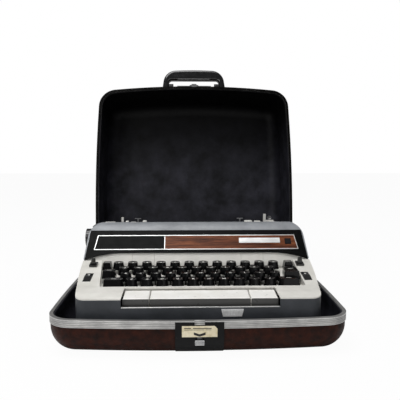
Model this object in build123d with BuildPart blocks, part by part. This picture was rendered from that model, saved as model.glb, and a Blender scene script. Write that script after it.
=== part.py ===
from build123d import *
import os
from math import atan, cos, radians, sin, tan

os.makedirs("parts", exist_ok=True)

# Portable electric typewriter in the tray of its hard case, with the case lid open behind it.
# Millimetres. X runs to the right, Y to the rear, Z up. The origin is the middle of the tray's flat bottom.

# Case, overall
case_width = 352.0
case_depth = 312.0
tray_height = 44.0
lid_height = 100.0
case_side_bow = 4.0
case_front_bow = 10.0
case_corner_radius = 32.0
case_wall = 3.0
tray_edge_radius = 30.0
lid_edge_radius = 26.0
liner_thickness = 1.5
seat_gap = 0.3

# Closing bands of the two case halves
band_height = 9.0
band_stand_out = 1.0
band_groove_height = 0.9
band_groove_depth = 0.4
band_groove_heights = (1.6, 3.6, 5.6)
lid_band_height = 5.0

# Lid hinge
lid_open_angle = 102.7
hinge_knuckle_radius = 3.0
hinge_pin_radius = 1.5
hinge_bore_gap = 0.1
hinge_stand_out = 3.4
hinge_spacing = 150.0
hinge_width = 48.0
hinge_leaf_height = 12.0
hinge_leaf_thickness = 1.6
hinge_knuckle_gap = 0.4
hinge_leaf_inset = 4.0

# Lock plate, paper label and release tab on the front of the tray
lock_plate_width = 54.0
lock_plate_stand_out = 1.8
lock_plate_bottom = 5.0
lock_plate_top_margin = 1.5
label_width = 39.0
label_height = 12.4
label_thickness = 0.4
label_torn_corner = 3.0
label_margin = 0.6
tab_width = 10.4
tab_height = 6.8
tab_thickness = 1.8
tab_tilt = 18.0
tab_travel = 4.5
latch_notch_depth = 2.6
tab_stem_width = 5.0
tab_stem_height = 3.0
tab_stem_length = 9.5
tab_slot_gap = 0.5
tab_hook_width = 9.0
tab_hook_thickness = 2.0
tab_rib_count = 4

# Latch and handle on the front wall of the lid
latch_plate_width = 62.0
latch_plate_height = 15.0
latch_plate_thickness = 1.2
latch_rivet_spacing = 44.0
latch_rivet_radius = 2.0
latch_button_width = 16.0
latch_button_height = 8.0
latch_button_thickness = 3.5
latch_hook_width = 9.0
latch_hook_reach = 3.6
latch_hook_thickness = 1.6
latch_plate_sunk = 4.0
latch_notch_gap = 1.2
handle_width = 119.0
handle_height = 42.0
handle_finger_gap = 22.0
handle_leg_width = 12.5
handle_thickness = 14.0
handle_corner_radius = 24.0
handle_taper = 5.0
handle_crown = 2.0
handle_inner_corner = 6.0
handle_depth = 28.0
handle_pivot_height = 8.5
handle_edge_radius = 4.5
handle_pin_radius = 2.4
handle_foot_reach = 4.2
handle_pin_inset = 2.0
bracket_width = 8.0
bracket_length = 14.0
pivot_gap = 0.3

# Machine body, overall
body_front_width = 279.0
body_middle_width = 300.8
body_width = 313.0
body_front_y = -138.0
body_taper_end_y = -8.0
body_rear_y = 133.0
pan_edge_radius = 10.0
body_front_corner = 14.0
body_rear_corner = 30.0
body_wall = 2.5
machine_bottom = 12.0
foot_height = 4.0
foot_radius = 9.0
rest_pad_corner = 4.0
foot_front_half_span = 105.0
foot_front_y = -112.0
foot_rear_half_span = 112.0
foot_rear_y = 104.0

# Heights of the body's edges
front_wall_top = 62.3
side_wall_rise = 9.4
side_wall_top = 80.0
notch_lip_top = 53.0
strip_front_y = -15.5
side_seam_step = 0.4

# Keyboard deck
deck_front_top = 66.0
deck_lip_depth = 16.0
deck_flat_y = -95.0
deck_flat_top = 67.0
deck_rear_top = 81.0
deck_wall = 2.5
strip_bottom = 72.0
strip_angle = 65.0
panel_bottom = 89.3
arch_flat_half_width = 105.0
arch_end_half_width = 153.0
arch_mid_drop = 2.2
arch_end_drop = 8.0
cover_gap = 0.5

# Key well
well_front_y = -98.0
well_front_left = -119.5
well_front_right = 131.4
well_rear_left = -130.0
well_rear_right = 132.6
well_corner_radius = 4.0
well_floor_drop = 14.5
well_floor_thickness = 2.0

# Character keys
key_pitch = 19.05
row_pitch = 19.76
row_rise = 2.5
number_row_y = -26.8
number_row_top = 81.0
row_counts = (12, 11, 11, 10)
row_first_x = (-106.0, -96.4, -91.7, -82.3)
key_base = 16.0
row_edge_margin = 0.2
key_face = 12.4
key_height = 9.5
key_base_corner = 7.2
key_face_corner = 5.4
key_dish_radius = 22.0
key_dish_depth = 0.7
function_corner = 2.2
function_taper = 9.0
shift_corner_cut = 5.0
return_slant = 5.0
return_drop = 0.6
lever_thickness = 1.5
lever_height = 7.0
lever_bottom = 30.0
lever_eye_radius = 6.0
stem_depth = 6.0
stem_slot_gap = 0.8
fulcrum_y = 62.0
fulcrum_radius = 2.5
fulcrum_gap = 0.3

# Space bar and its two neighbours
space_set_left = -87.7
space_bar_left = -56.4
space_bar_right = 59.3
space_set_right = 91.4
space_gap = 1.0
space_front_y = -131.0
space_rear_y = -104.0
space_bottom = 51.0
space_front_top = 61.4
space_front_lean = 0.6
space_rear_top = 64.0
space_edge_radius = 1.6
space_arm_thickness = 2.0
space_arm_height = 4.0
space_arm_bottom = 20.0
space_eye_radius = 3.0
space_arm_y = -116.0
space_arm_x = (-45.0, 48.0)
half_space_arm_x = -72.5
power_space_arm_x = 76.0
space_pivot_y = -40.0
space_pivot_radius = 1.5

# Ribbon cover, name panel and what is fixed to it
panel_angle = 51.0
cover_front_blend = 22.0
cover_rear_y = 34.0
cover_top = 127.0
cover_top_half_width = 152.4
cover_shoulder_radius = 18.0
cover_wall = 2.5
panel_top = 117.0
panel_thickness = 1.5
panel_bottom_half_width = 155.0
panel_top_half_width = 150.5
trim_bottom_half_width = 143.0
trim_top_half_width = 139.5
trim_line = 1.0
trim_height = 1.0
trim_low = 3.5
trim_high = 26.5
trim_divider_x = -45.5
plate_left = 60.0
plate_right = 118.0
plate_low = 13.4
plate_high = 21.4
plate_height = 0.7
window_centre_x = 129.5
window_centre = 16.0
window_size = 8.6
window_height = 0.5
insert_height = 0.7
cover_pivot_y = 29.5
cover_pivot_z = 118.0
cover_pivot_radius = 2.0
cover_lug_half = 4.0
cover_ear_x = 124.0

# Chassis
chassis_half_width = 123.5
chassis_plate = 2.5
chassis_front_y = -58.0
chassis_rear_y = 120.0
chassis_front_top = 44.0
chassis_top = 79.5
chassis_rear_top = 60.0
chassis_shoulder_y = 14.0
front_bar_height = 3.0
guide_plate_y = 31.0
guide_plate_thickness = 2.0
guide_plate_bottom = 40.0
guide_plate_top = 78.0
post_half_width = 4.0
shelf_inner_x = 76.0
shelf_front_y = -9.0
shelf_thickness = 2.0
rail_y = 74.0
rail_depth = 9.0
rail_height = 7.0
space_bracket_xs = (-91.0, 0.0, 94.0)
space_bracket_width = 3.0

# Type basket
segment_half_width = 66.0
segment_depth = 14.0
segment_centre_z = 64.0
segment_inner = 3.0
segment_outer = 5.0
segment_thickness = 7.0
typebar_count = 44
typebar_fan = 68.0
typebar_thickness = 0.9
typebar_height = 3.0
typebar_length = 35.0
typebar_spread = 0.22
typebar_forward = 0.72
typebar_rise = 0.66

# Ribbon spools
spool_x = 97.5
spool_y = 9.5
spool_bottom = 62.0
spool_radius = 19.0
spool_height = 12.0
spool_wound_radius = 15.0
spool_flange = 1.2
spindle_radius = 2.0
spindle_height = 15.0

# Drive
motor_left = -118.0
motor_right = -56.0
motor_y = 105.0
motor_z = 48.0
motor_radius = 22.0
motor_foot_width = 26.0
motor_foot_length = 10.0
motor_foot_inset = 6.0
motor_bore_depth = 12.0
motor_shaft_clearance = 1.0
shaft_radius = 3.0
pulley_left = -50.0
pulley_width = 8.0
motor_pulley_radius = 9.0
roll_left = -39.0
roll_y = 78.0
roll_z = 25.0
roll_radius = 6.5
roll_shaft_radius = 2.5
roll_pulley_radius = 8.0
roll_bracket_x = -57.0
belt_thickness = 1.6
belt_width = 6.0
belt_gap = 0.2

# Carriage, centred on its own line
carriage_x = -4.0
carriage_half_width = 141.0
platen_y = 52.5
platen_z = 101.0
platen_radius = 16.5
platen_half_length = 136.0
platen_shaft_radius = 4.0
platen_shaft_gap = 0.3
knob_radius = 13.7
knob_inner = 143.5
knob_length = 17.0
knob_rib_count = 24
end_plate_thickness = 3.0
end_plate_front_y = 37.0
end_plate_rear_y = 92.0
end_plate_bottom = 84.0
end_plate_top = 119.5
end_plate_toe_inset = 4.0
end_plate_shoulder_inset = 8.0
end_plate_nose_rise = 8.0
end_plate_nose_drop = 10.0
end_plate_back_half = 6.0
end_plate_bail_margin = 6.0
end_cover_width = 9.0
end_cover_height = 4.2
rail_gap = 0.4
beam_wall = 3.0
beam_skirt_bottom = 82.0
lever_bar_y = 70.0
lever_bar_depth = 6.0
lever_bar_bottom = 112.0
lever_bar_top = 115.5
bail_radius = 1.6
bail_y = 46.5
bail_z = 120.8
bail_roller_radius = 4.0
bail_roller_length = 11.0
bail_roller_xs = (-87.0, 66.0)
bail_pivot_y = 70.0
bail_pivot_z = 119.5
bail_half_width = 134.0
bail_arm_thickness = 2.0
bail_finger_top = 130.0
paper_table_bottom_y = 73.0
paper_table_bottom = 95.0
paper_table_top_y = 88.0
paper_table_top = 118.0
paper_table_thickness = 1.5
paper_table_half_width = 118.0
release_lever_x = 107.0
release_lever_top = 134.0
release_lever_width = 3.8
line_selector_x = -113.0
line_selector_top = 129.5
line_selector_width = 3.2
small_lever_thickness = 3.0
small_lever_pivot_radius = 1.3
small_lever_pivot_height = 3.2
release_lever_toe = 14.0
release_lever_toe_height = 2.2
release_lever_toe_gap = 0.6
knob_groove_radius = 0.8
knob_dish = 2.0

# Rear housing, power inlet and badge
housing_front_y = 97.5
housing_top = 92.0
louvre_count = 24
louvre_pitch = 9.0
louvre_width = 3.2
louvre_length = 20.0
inlet_x = 96.0
inlet_width = 28.0
inlet_height = 20.0
inlet_z = 40.0
inlet_depth = 14.0
inlet_wall = 2.0
inlet_corner = 3.0
inlet_pin_radius = 1.6
badge_left = 25.0
badge_right = 50.5
badge_bottom = 42.8
badge_top = 51.2
badge_slant = 2.0
badge_thickness = 1.2
badge_rib_count = 6

# Controls on the deck
lever_slot_length = 12.0
lever_slot_width = 5.0
selector_x = 138.5
selector_y = -33.0
selector_base_width = 10.4
selector_base_length = 12.6
selector_base_height = 2.2
paddle_width = 6.4
paddle_thickness = 4.0
paddle_height = 9.5
paddle_taper = 4.0
selector_stem_reach = 3.0
switch_x = 138.6
switch_y = -70.0
switch_width = 9.5
switch_length = 24.0
switch_thickness = 6.0
switch_crown = 1.2
tab_button_low_gap = 1.5


def case_outline(inset):
    """The bow-sided outline that both case halves share, drawn in by inset."""
    corner_x = case_width / 2 - inset - case_side_bow
    rear_corner_y = case_depth / 2 - inset - case_side_bow
    front_corner_y = -case_depth / 2 + inset + case_front_bow
    side_x = case_width / 2 - inset
    side_y = case_depth / 2 - inset
    with BuildSketch(mode=Mode.PRIVATE) as outline:
        with BuildLine():
            ThreePointArc((-corner_x, front_corner_y), (0, -side_y), (corner_x, front_corner_y))
            ThreePointArc((corner_x, front_corner_y), (side_x, 0), (corner_x, rear_corner_y))
            ThreePointArc((corner_x, rear_corner_y), (0, side_y), (-corner_x, rear_corner_y))
            ThreePointArc((-corner_x, rear_corner_y), (-side_x, 0), (-corner_x, front_corner_y))
        make_face()
        fillet(outline.vertices(), case_corner_radius - inset)
    return outline.sketch


def bowl_solid(floor_plane, inset, height, edge_radius):
    """A solid block of the case outline whose floor edge is rounded."""
    outline = case_outline(inset)
    with BuildPart(mode=Mode.PRIVATE) as bowl:
        with BuildSketch(floor_plane):
            add(outline)
        extrude(amount=height)
        floor_axis = Axis(floor_plane.origin, floor_plane.z_dir)
        fillet(bowl.faces().sort_by(floor_axis)[0].edges(), edge_radius)
    return bowl.part


def ring_solid(base_plane, outer_inset, inner_inset, height):
    """A flat-topped ring that follows the case outline."""
    outer = case_outline(outer_inset)
    inner = case_outline(inner_inset)
    with BuildPart(mode=Mode.PRIVATE) as ring:
        with BuildSketch(base_plane):
            add(outer)
            add(inner, mode=Mode.SUBTRACT)
        extrude(amount=height)
    return ring.part


def block(plane, x, y, height):
    """A rectangular block that stands on a plane, from spans (low, high) in its x and y."""
    with BuildPart(mode=Mode.PRIVATE) as solid:
        with BuildSketch(plane):
            with Locations(((x[0] + x[1]) / 2, (y[0] + y[1]) / 2)):
                Rectangle(x[1] - x[0], y[1] - y[0])
        extrude(amount=height)
    return solid.part


def rod(start_x, end_x, y, z, radius):
    """A round rod that lies along X."""
    with BuildPart(mode=Mode.PRIVATE) as solid:
        with BuildSketch(Plane.YZ.offset(start_x)):
            with Locations((y, z)):
                Circle(radius)
        extrude(amount=end_x - start_x)
    return solid.part


# Case tray

band_bottom = tray_height - band_height
shell_inset = band_stand_out
cavity_inset = shell_inset + case_wall
liner_inset = cavity_inset + seat_gap
hinge_y = case_depth / 2 + hinge_stand_out
hinge_z = tray_height

tray_block = bowl_solid(Plane.XY, shell_inset, band_bottom, tray_edge_radius)
tray_cavity = bowl_solid(Plane.XY.offset(case_wall), cavity_inset, tray_height, tray_edge_radius - case_wall)
liner_block = bowl_solid(
    Plane.XY.offset(case_wall),
    liner_inset,
    tray_height - 1 - case_wall,
    tray_edge_radius - case_wall - seat_gap,
)
liner_floor = case_wall + liner_thickness
liner_cavity = bowl_solid(
    Plane.XY.offset(liner_floor),
    liner_inset + liner_thickness,
    tray_height,
    tray_edge_radius - liner_floor - seat_gap,
)

# Release tab, on the curved edge of the tray's front
curve_centre_y = -(case_depth / 2 - shell_inset - tray_edge_radius)
curve_radius = tray_edge_radius + lock_plate_stand_out
tab_out = (0, -cos(radians(tab_tilt)), -sin(radians(tab_tilt)))
tab_plane = Plane(
    origin=(0, curve_centre_y + curve_radius * tab_out[1], tray_edge_radius + curve_radius * tab_out[2]),
    x_dir=(1, 0, 0),
    z_dir=tab_out,
)
tab_slot_half_width = tab_stem_width / 2 + tab_slot_gap
tab_slot_low = -tab_stem_height / 2 - tab_slot_gap
tab_slot_high = tab_stem_height / 2 + tab_travel + tab_slot_gap
tab_slot = block(
    tab_plane.offset(-tab_stem_length - tab_hook_thickness),
    (-tab_slot_half_width, tab_slot_half_width),
    (tab_slot_low, tab_slot_high),
    tab_stem_length + tab_hook_thickness + tab_thickness,
)

# Notch that takes the lid's latch hook, open at the top of the band
notch_half_width = latch_hook_width / 2 + latch_notch_gap
notch_bottom = tray_height - latch_hook_reach - latch_notch_gap
notch_rear_y = -case_depth / 2 + band_stand_out + latch_notch_depth
latch_notch = block(
    Plane.XY.offset(notch_bottom),
    (-notch_half_width, notch_half_width),
    (-case_depth / 2 - 2 * lock_plate_stand_out, notch_rear_y),
    tray_height,
)

with BuildPart() as case_base_shell:
    add(tray_block)
    add(tray_cavity, mode=Mode.SUBTRACT)
    add(tab_slot, mode=Mode.SUBTRACT)
case_base_shell.part.label = "case_base_shell"
export_step(case_base_shell.part, "parts/case_base_shell.step")

band_cut_height = band_height - lock_plate_top_margin
lock_plate_x = (-lock_plate_width / 2, lock_plate_width / 2)
front_half_y = (-case_depth, 0)
with BuildPart(mode=Mode.PRIVATE) as band_recess:
    add(ring_solid(Plane.XY.offset(band_bottom), 0, shell_inset, band_cut_height))
    add(block(Plane.XY, lock_plate_x, front_half_y, tray_height), mode=Mode.INTERSECT)

with BuildPart() as case_base_rim:
    add(ring_solid(Plane.XY.offset(band_bottom), 0, cavity_inset, band_height))
    for groove_height in band_groove_heights:
        groove_plane = Plane.XY.offset(band_bottom + groove_height)
        add(ring_solid(groove_plane, 0, band_groove_depth, band_groove_height), mode=Mode.SUBTRACT)
    add(band_recess.part, mode=Mode.SUBTRACT)
    add(latch_notch, mode=Mode.SUBTRACT)
case_base_rim.part.label = "case_base_rim"
export_step(case_base_rim.part, "parts/case_base_rim.step")

foot_points = [
    (-foot_front_half_span, foot_front_y),
    (foot_front_half_span, foot_front_y),
    (-foot_rear_half_span, foot_rear_y),
    (foot_rear_half_span, foot_rear_y),
]
pad_top = machine_bottom - foot_height
with BuildPart() as case_base_liner:
    add(liner_block)
    add(liner_cavity, mode=Mode.SUBTRACT)
    with BuildSketch(Plane.XY.offset(liner_floor)):
        with Locations(*foot_points):
            RectangleRounded(3 * foot_radius, 2.6 * foot_radius, rest_pad_corner)
    extrude(amount=pad_top - liner_floor)
    add(tab_slot, mode=Mode.SUBTRACT)
case_base_liner.part.label = "case_base_liner"
export_step(case_base_liner.part, "parts/case_base_liner.step")

plate_bowl_floor = -lock_plate_stand_out
plate_height_span = tray_height - lock_plate_top_margin - lock_plate_bottom
with BuildPart() as lock_plate:
    add(
        bowl_solid(
            Plane.XY.offset(plate_bowl_floor),
            shell_inset - lock_plate_stand_out,
            tray_height + lock_plate_stand_out,
            curve_radius,
        )
    )
    add(
        block(Plane.XY.offset(lock_plate_bottom), lock_plate_x, front_half_y, plate_height_span),
        mode=Mode.INTERSECT,
    )
    add(bowl_solid(Plane.XY, shell_inset, 2 * tray_height, tray_edge_radius), mode=Mode.SUBTRACT)
    add(latch_notch, mode=Mode.SUBTRACT)
    add(tab_slot, mode=Mode.SUBTRACT)
lock_plate.part.label = "lock_plate"
export_step(lock_plate.part, "parts/lock_plate.step")

label_top = notch_bottom - label_margin
label_face_y = -case_depth / 2 + shell_inset - lock_plate_stand_out
label_z = label_top - label_height / 2
label_plane = Plane(origin=(0, label_face_y, label_z), x_dir=(1, 0, 0), z_dir=(0, -1, 0))
with BuildPart() as lock_plate_label:
    with BuildSketch(label_plane):
        label_face = Rectangle(label_width, label_height)
        torn_corner = label_face.vertices().sort_by(Axis.Z).sort_by(Axis.X)[-1]
        chamfer(torn_corner, label_torn_corner)
    extrude(amount=label_thickness)
lock_plate_label.part.label = "lock_plate_label"
export_step(lock_plate_label.part, "parts/lock_plate_label.step")

with BuildPart() as release_tab:
    with BuildSketch(tab_plane.offset(seat_gap)):
        RectangleRounded(tab_width, tab_height, 0.8)
    extrude(amount=tab_thickness)
    rib_pitch = tab_height / (tab_rib_count + 1)
    with BuildSketch(tab_plane.offset(seat_gap + tab_thickness)):
        with GridLocations(0, rib_pitch, 1, tab_rib_count):
            Rectangle(tab_width, rib_pitch / 2)
    extrude(amount=-tab_thickness / 3, mode=Mode.SUBTRACT)
    with BuildSketch(tab_plane.offset(seat_gap)):
        Rectangle(tab_stem_width, tab_stem_height)
    extrude(amount=-tab_stem_length)
    with BuildSketch(tab_plane.offset(seat_gap - tab_stem_length)):
        Rectangle(tab_hook_width, tab_stem_height)
    extrude(amount=-tab_hook_thickness)
release_tab.part.label = "release_tab"
export_step(release_tab.part, "parts/release_tab.step")

# Hinges between tray and lid: outer knuckles on the tray, middle knuckle on the lid

hinge_centres = (-hinge_spacing / 2, hinge_spacing / 2)
knuckle_length = hinge_width / 3


def tray_knuckles(centre_x):
    """The two outer spans along X of one hinge."""
    half = hinge_width / 2
    inner = half - knuckle_length + hinge_knuckle_gap
    return ((centre_x - half, centre_x - inner), (centre_x + inner, centre_x + half))


def lid_knuckle(centre_x, gap=0):
    """The middle span along X of one hinge, with a gap added at both ends."""
    return ((centre_x - knuckle_length / 2 - gap, centre_x + knuckle_length / 2 + gap),)


def hinge_leaf(outline_solids, leaf_plane, leaf_y, centre_x, knuckle_spans, clear_spans):
    """A hinge leaf seated on the case wall, with knuckles, and room for those of the other leaf."""
    clear_radius = hinge_knuckle_radius + hinge_knuckle_gap
    with BuildPart(mode=Mode.PRIVATE) as leaf:
        leaf_x = (centre_x - hinge_width / 2, centre_x + hinge_width / 2)
        add(block(leaf_plane, leaf_x, leaf_y, hinge_leaf_height))
        for solid in outline_solids:
            add(solid, mode=Mode.SUBTRACT)
        for low, high in clear_spans:
            add(rod(low, high, hinge_y, hinge_z, clear_radius), mode=Mode.SUBTRACT)
        for low, high in knuckle_spans:
            add(rod(low, high, hinge_y, hinge_z, hinge_knuckle_radius))
            web_y = (leaf_y[1] - hinge_leaf_thickness, hinge_y)
            add(block(leaf_plane, (low, high), web_y, hinge_leaf_height))
        for low, high in knuckle_spans:
            add(rod(low, high, hinge_y, hinge_z, hinge_pin_radius + hinge_bore_gap), mode=Mode.SUBTRACT)
    return leaf.part


leaf_y_span = (case_depth / 2 - hinge_leaf_inset, case_depth / 2 + hinge_leaf_thickness)
tray_wall_solids = (
    bowl_solid(Plane.XY, shell_inset, 2 * tray_height, tray_edge_radius),
    ring_solid(Plane.XY.offset(band_bottom), 0, cavity_inset, band_height),
)
with BuildPart() as hinge_base_leaves:
    leaf_plane = Plane.XY.offset(tray_height - hinge_leaf_height)
    for centre_x in hinge_centres:
        clear_spans = lid_knuckle(centre_x, hinge_knuckle_gap)
        knuckles = tray_knuckles(centre_x)
        add(hinge_leaf(tray_wall_solids, leaf_plane, leaf_y_span, centre_x, knuckles, clear_spans))
    for centre_x in hinge_centres:
        half = hinge_width / 2
        add(rod(centre_x - half, centre_x + half, hinge_y, hinge_z, hinge_pin_radius))
hinge_base_leaves.part.label = "hinge_base_leaves"
export_step(hinge_base_leaves.part, "parts/hinge_base_leaves.step")

# Case lid, built where it stands open: lid_rim is its rim plane, and its normal runs into the lid

open_angle = radians(lid_open_angle)
into_lid = Vector(0, sin(open_angle), cos(open_angle))
lid_back = Vector(0, cos(open_angle), -sin(open_angle))
hinge_line = Vector(0, hinge_y, hinge_z)
lid_rim = Plane(origin=hinge_line - lid_back * hinge_y, x_dir=(1, 0, 0), z_dir=into_lid)
lid_roof = Plane(origin=lid_rim.origin + into_lid * lid_height, x_dir=(-1, 0, 0), z_dir=-into_lid)
lid_roof_inside = Plane(
    origin=lid_rim.origin + into_lid * (lid_height - case_wall), x_dir=(-1, 0, 0), z_dir=-into_lid
)
lid_liner_inside = Plane(
    origin=lid_rim.origin + into_lid * (lid_height - liner_floor), x_dir=(-1, 0, 0), z_dir=-into_lid
)

lid_shell_height = lid_height - lid_band_height
lid_block = bowl_solid(lid_roof, shell_inset, lid_shell_height, lid_edge_radius)
lid_cavity = bowl_solid(lid_roof_inside, cavity_inset, lid_height, lid_edge_radius - case_wall)
with BuildPart() as case_lid_shell:
    add(lid_block)
    add(lid_cavity, mode=Mode.SUBTRACT)
case_lid_shell.part.label = "case_lid_shell"
export_step(case_lid_shell.part, "parts/case_lid_shell.step")

with BuildPart() as case_lid_rim:
    add(ring_solid(lid_rim, 0, cavity_inset, lid_band_height))
    add(
        ring_solid(lid_rim.offset(lid_band_height / 2), 0, band_groove_depth, band_groove_height),
        mode=Mode.SUBTRACT,
    )
case_lid_rim.part.label = "case_lid_rim"
export_step(case_lid_rim.part, "parts/case_lid_rim.step")

lid_liner_height = lid_height - case_wall - 1
with BuildPart() as case_lid_liner:
    add(bowl_solid(lid_roof_inside, liner_inset, lid_liner_height, lid_edge_radius - case_wall - seat_gap))
    add(
        bowl_solid(
            lid_liner_inside,
            liner_inset + liner_thickness,
            lid_height,
            lid_edge_radius - liner_floor - seat_gap,
        ),
        mode=Mode.SUBTRACT,
    )
case_lid_liner.part.label = "case_lid_liner"
export_step(case_lid_liner.part, "parts/case_lid_liner.step")

lid_wall_solids = (
    bowl_solid(lid_roof, shell_inset, lid_height, lid_edge_radius),
    ring_solid(lid_rim, 0, cavity_inset, lid_band_height),
)
with BuildPart() as hinge_lid_leaves:
    for centre_x in hinge_centres:
        clear_spans = tray_knuckles(centre_x)
        add(hinge_leaf(lid_wall_solids, lid_rim, leaf_y_span, centre_x, lid_knuckle(centre_x), clear_spans))
hinge_lid_leaves.part.label = "hinge_lid_leaves"
export_step(hinge_lid_leaves.part, "parts/hinge_lid_leaves.step")

# Latch on the lid's front wall: a seated plate with two rivets, and a slide that carries the hook
lid_front_y = -case_depth / 2
plate_back = lid_front_y + latch_plate_sunk
plate_face = lid_front_y - latch_plate_thickness
with BuildPart() as latch_plate:
    plate_x = (-latch_plate_width / 2, latch_plate_width / 2)
    add(block(lid_rim.offset(0.5), plate_x, (plate_face, plate_back), latch_plate_height))
    for solid in lid_wall_solids:
        add(solid, mode=Mode.SUBTRACT)
    rivet_plane = Plane(
        origin=lid_rim.origin + lid_back * plate_face + into_lid * latch_plate_height * 0.6,
        x_dir=(1, 0, 0),
        z_dir=-lid_back,
    )
    with BuildSketch(rivet_plane):
        with GridLocations(latch_rivet_spacing, 0, 2, 1):
            Circle(latch_rivet_radius)
    extrude(amount=latch_rivet_radius / 3)
latch_plate.part.label = "latch_plate"
export_step(latch_plate.part, "parts/latch_plate.step")

slide_back = plate_face - seat_gap
slide_face = slide_back - latch_button_thickness
hook_arm_face = slide_back - latch_hook_thickness
with BuildPart() as latch_slide:
    button_x = (-latch_button_width / 2, latch_button_width / 2)
    hook_x = (-latch_hook_width / 2, latch_hook_width / 2)
    button_low = latch_plate_height * 0.4
    add(block(lid_rim.offset(button_low), button_x, (slide_face, slide_back), latch_button_height))
    hook_arm_y = (hook_arm_face, slide_back)
    add(block(lid_rim.offset(-latch_hook_reach), hook_x, hook_arm_y, latch_hook_reach + button_low))
    tooth_y = (hook_arm_face, lid_front_y + band_stand_out + latch_hook_thickness)
    add(block(lid_rim.offset(-latch_hook_reach), hook_x, tooth_y, latch_hook_reach / 2))
latch_slide.part.label = "latch_slide"
export_step(latch_slide.part, "parts/latch_slide.step")

# Carrying handle, seen along the lid's depth: x across the case, y out from its front wall
wall_y = lid_front_y + shell_inset
pivot_y = wall_y - handle_pivot_height
handle_plane = lid_rim.offset(handle_depth - handle_thickness / 2)
handle_inner_half_width = handle_width / 2 - handle_leg_width
handle_top_y = wall_y - handle_height
handle_shoulder_y = handle_top_y + handle_crown
shoulder_x = handle_width / 2 - handle_taper
finger_gap_y = wall_y - handle_finger_gap
handle_foot_y = pivot_y + handle_foot_reach


def lid_rod(start_x, end_x, radius):
    """A round rod along X on the handle's pivot line."""
    plane = Plane(
        origin=lid_rim.origin + lid_back * pivot_y + into_lid * handle_depth + Vector(start_x, 0, 0),
        x_dir=lid_back,
        z_dir=(1, 0, 0),
    )
    with BuildPart(mode=Mode.PRIVATE) as solid:
        with BuildSketch(plane):
            Circle(radius)
        extrude(amount=end_x - start_x)
    return solid.part


with BuildPart() as case_handle:
    with BuildSketch(handle_plane) as arch:
        with BuildLine():
            Polyline(
                (shoulder_x, handle_shoulder_y),
                (handle_width / 2, handle_foot_y),
                (-handle_width / 2, handle_foot_y),
                (-shoulder_x, handle_shoulder_y),
            )
            shoulder_ends = [(-shoulder_x, handle_shoulder_y), (shoulder_x, handle_shoulder_y)]
            ThreePointArc(shoulder_ends[0], (0, handle_top_y), shoulder_ends[1])
        make_face()
        fillet(arch.vertices().group_by(Axis.Y)[0], handle_corner_radius)
        with BuildLine():
            Polyline(
                (-handle_inner_half_width, handle_foot_y),
                (-handle_inner_half_width, finger_gap_y),
                (handle_inner_half_width, finger_gap_y),
                (handle_inner_half_width, handle_foot_y),
                close=True,
            )
        make_face(mode=Mode.SUBTRACT)
        inner_limit = handle_inner_half_width + 0.1
        gap_corners = arch.vertices().filter_by(
            lambda corner: abs(corner.Y - finger_gap_y) < 0.1 and abs(corner.X) < inner_limit
        )
        fillet(gap_corners, handle_inner_corner)
    extrude(amount=handle_thickness)
    long_edges = case_handle.edges().filter_by(lambda edge: abs(edge.tangent_at(0.5).dot(into_lid)) < 0.5)
    foot_axis = Axis((0, 0, 0), -lid_back)
    round_edges = long_edges.group_by(foot_axis)[1:]
    fillet([edge for group in round_edges for edge in group], handle_edge_radius)
    add(lid_rod(-handle_width, handle_width, handle_pin_radius + pivot_gap), mode=Mode.SUBTRACT)
case_handle.part.label = "case_handle"
export_step(case_handle.part, "parts/case_handle.step")

with BuildPart() as handle_brackets:
    for side in (-1, 1):
        cheek_outer = side * (handle_inner_half_width - seat_gap)
        cheek_inner = cheek_outer - side * bracket_width
        cheek_x = (min(cheek_outer, cheek_inner), max(cheek_outer, cheek_inner))
        cheek_plane = lid_rim.offset(handle_depth - bracket_length / 2)
        add(block(cheek_plane, cheek_x, (pivot_y, wall_y + 1), bracket_length))
        add(lid_rod(cheek_x[0], cheek_x[1], bracket_length / 2))
        pin_end = side * (handle_width / 2 - handle_pin_inset)
        add(lid_rod(min(cheek_outer, pin_end), max(cheek_outer, pin_end), handle_pin_radius))
    add(lid_wall_solids[0], mode=Mode.SUBTRACT)
handle_brackets.part.label = "handle_brackets"
export_step(handle_brackets.part, "parts/handle_brackets.step")

# Machine body

slope = radians(panel_angle)
panel_bottom_y = strip_front_y + (panel_bottom - strip_bottom) / tan(radians(strip_angle))
body_half_width = body_width / 2
key_slope = row_rise / row_pitch
space_notch_left = space_set_left - space_gap
space_notch_right = space_set_right + space_gap
space_notch_rear = space_rear_y + space_gap


def body_outline(inset):
    """The machine's outline seen from above, narrower at the front, drawn in by inset."""
    front_half = body_front_width / 2 - inset
    rear_half = body_half_width - inset
    front_y = body_front_y + inset
    rear_y = body_rear_y - inset
    middle_half = body_middle_width / 2 - inset
    middle_y = (body_front_y + body_taper_end_y) / 2
    with BuildSketch(mode=Mode.PRIVATE) as outline:
        with BuildLine():
            Line((-front_half, front_y), (front_half, front_y))
            ThreePointArc((front_half, front_y), (middle_half, middle_y), (rear_half, body_taper_end_y))
            Polyline(
                (rear_half, body_taper_end_y),
                (rear_half, rear_y),
                (-rear_half, rear_y),
                (-rear_half, body_taper_end_y),
            )
            ThreePointArc((-rear_half, body_taper_end_y), (-middle_half, middle_y), (-front_half, front_y))
        make_face()
        corner_rows = outline.vertices().group_by(Axis.Y)
        fillet(corner_rows[0], body_front_corner - inset)
        fillet(corner_rows[-1], body_rear_corner - inset)
    return outline.sketch


def body_block(inset, bottom, top, edge_radius=0):
    """A solid of the machine's outline between two heights, its lower edge rounded where asked."""
    outline = body_outline(inset)
    with BuildPart(mode=Mode.PRIVATE) as solid:
        with BuildSketch(Plane.XY.offset(bottom)):
            add(outline)
        extrude(amount=top - bottom)
        if edge_radius:
            fillet(solid.faces().sort_by(Axis.Z)[0].edges(), edge_radius)
    return solid.part


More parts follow.
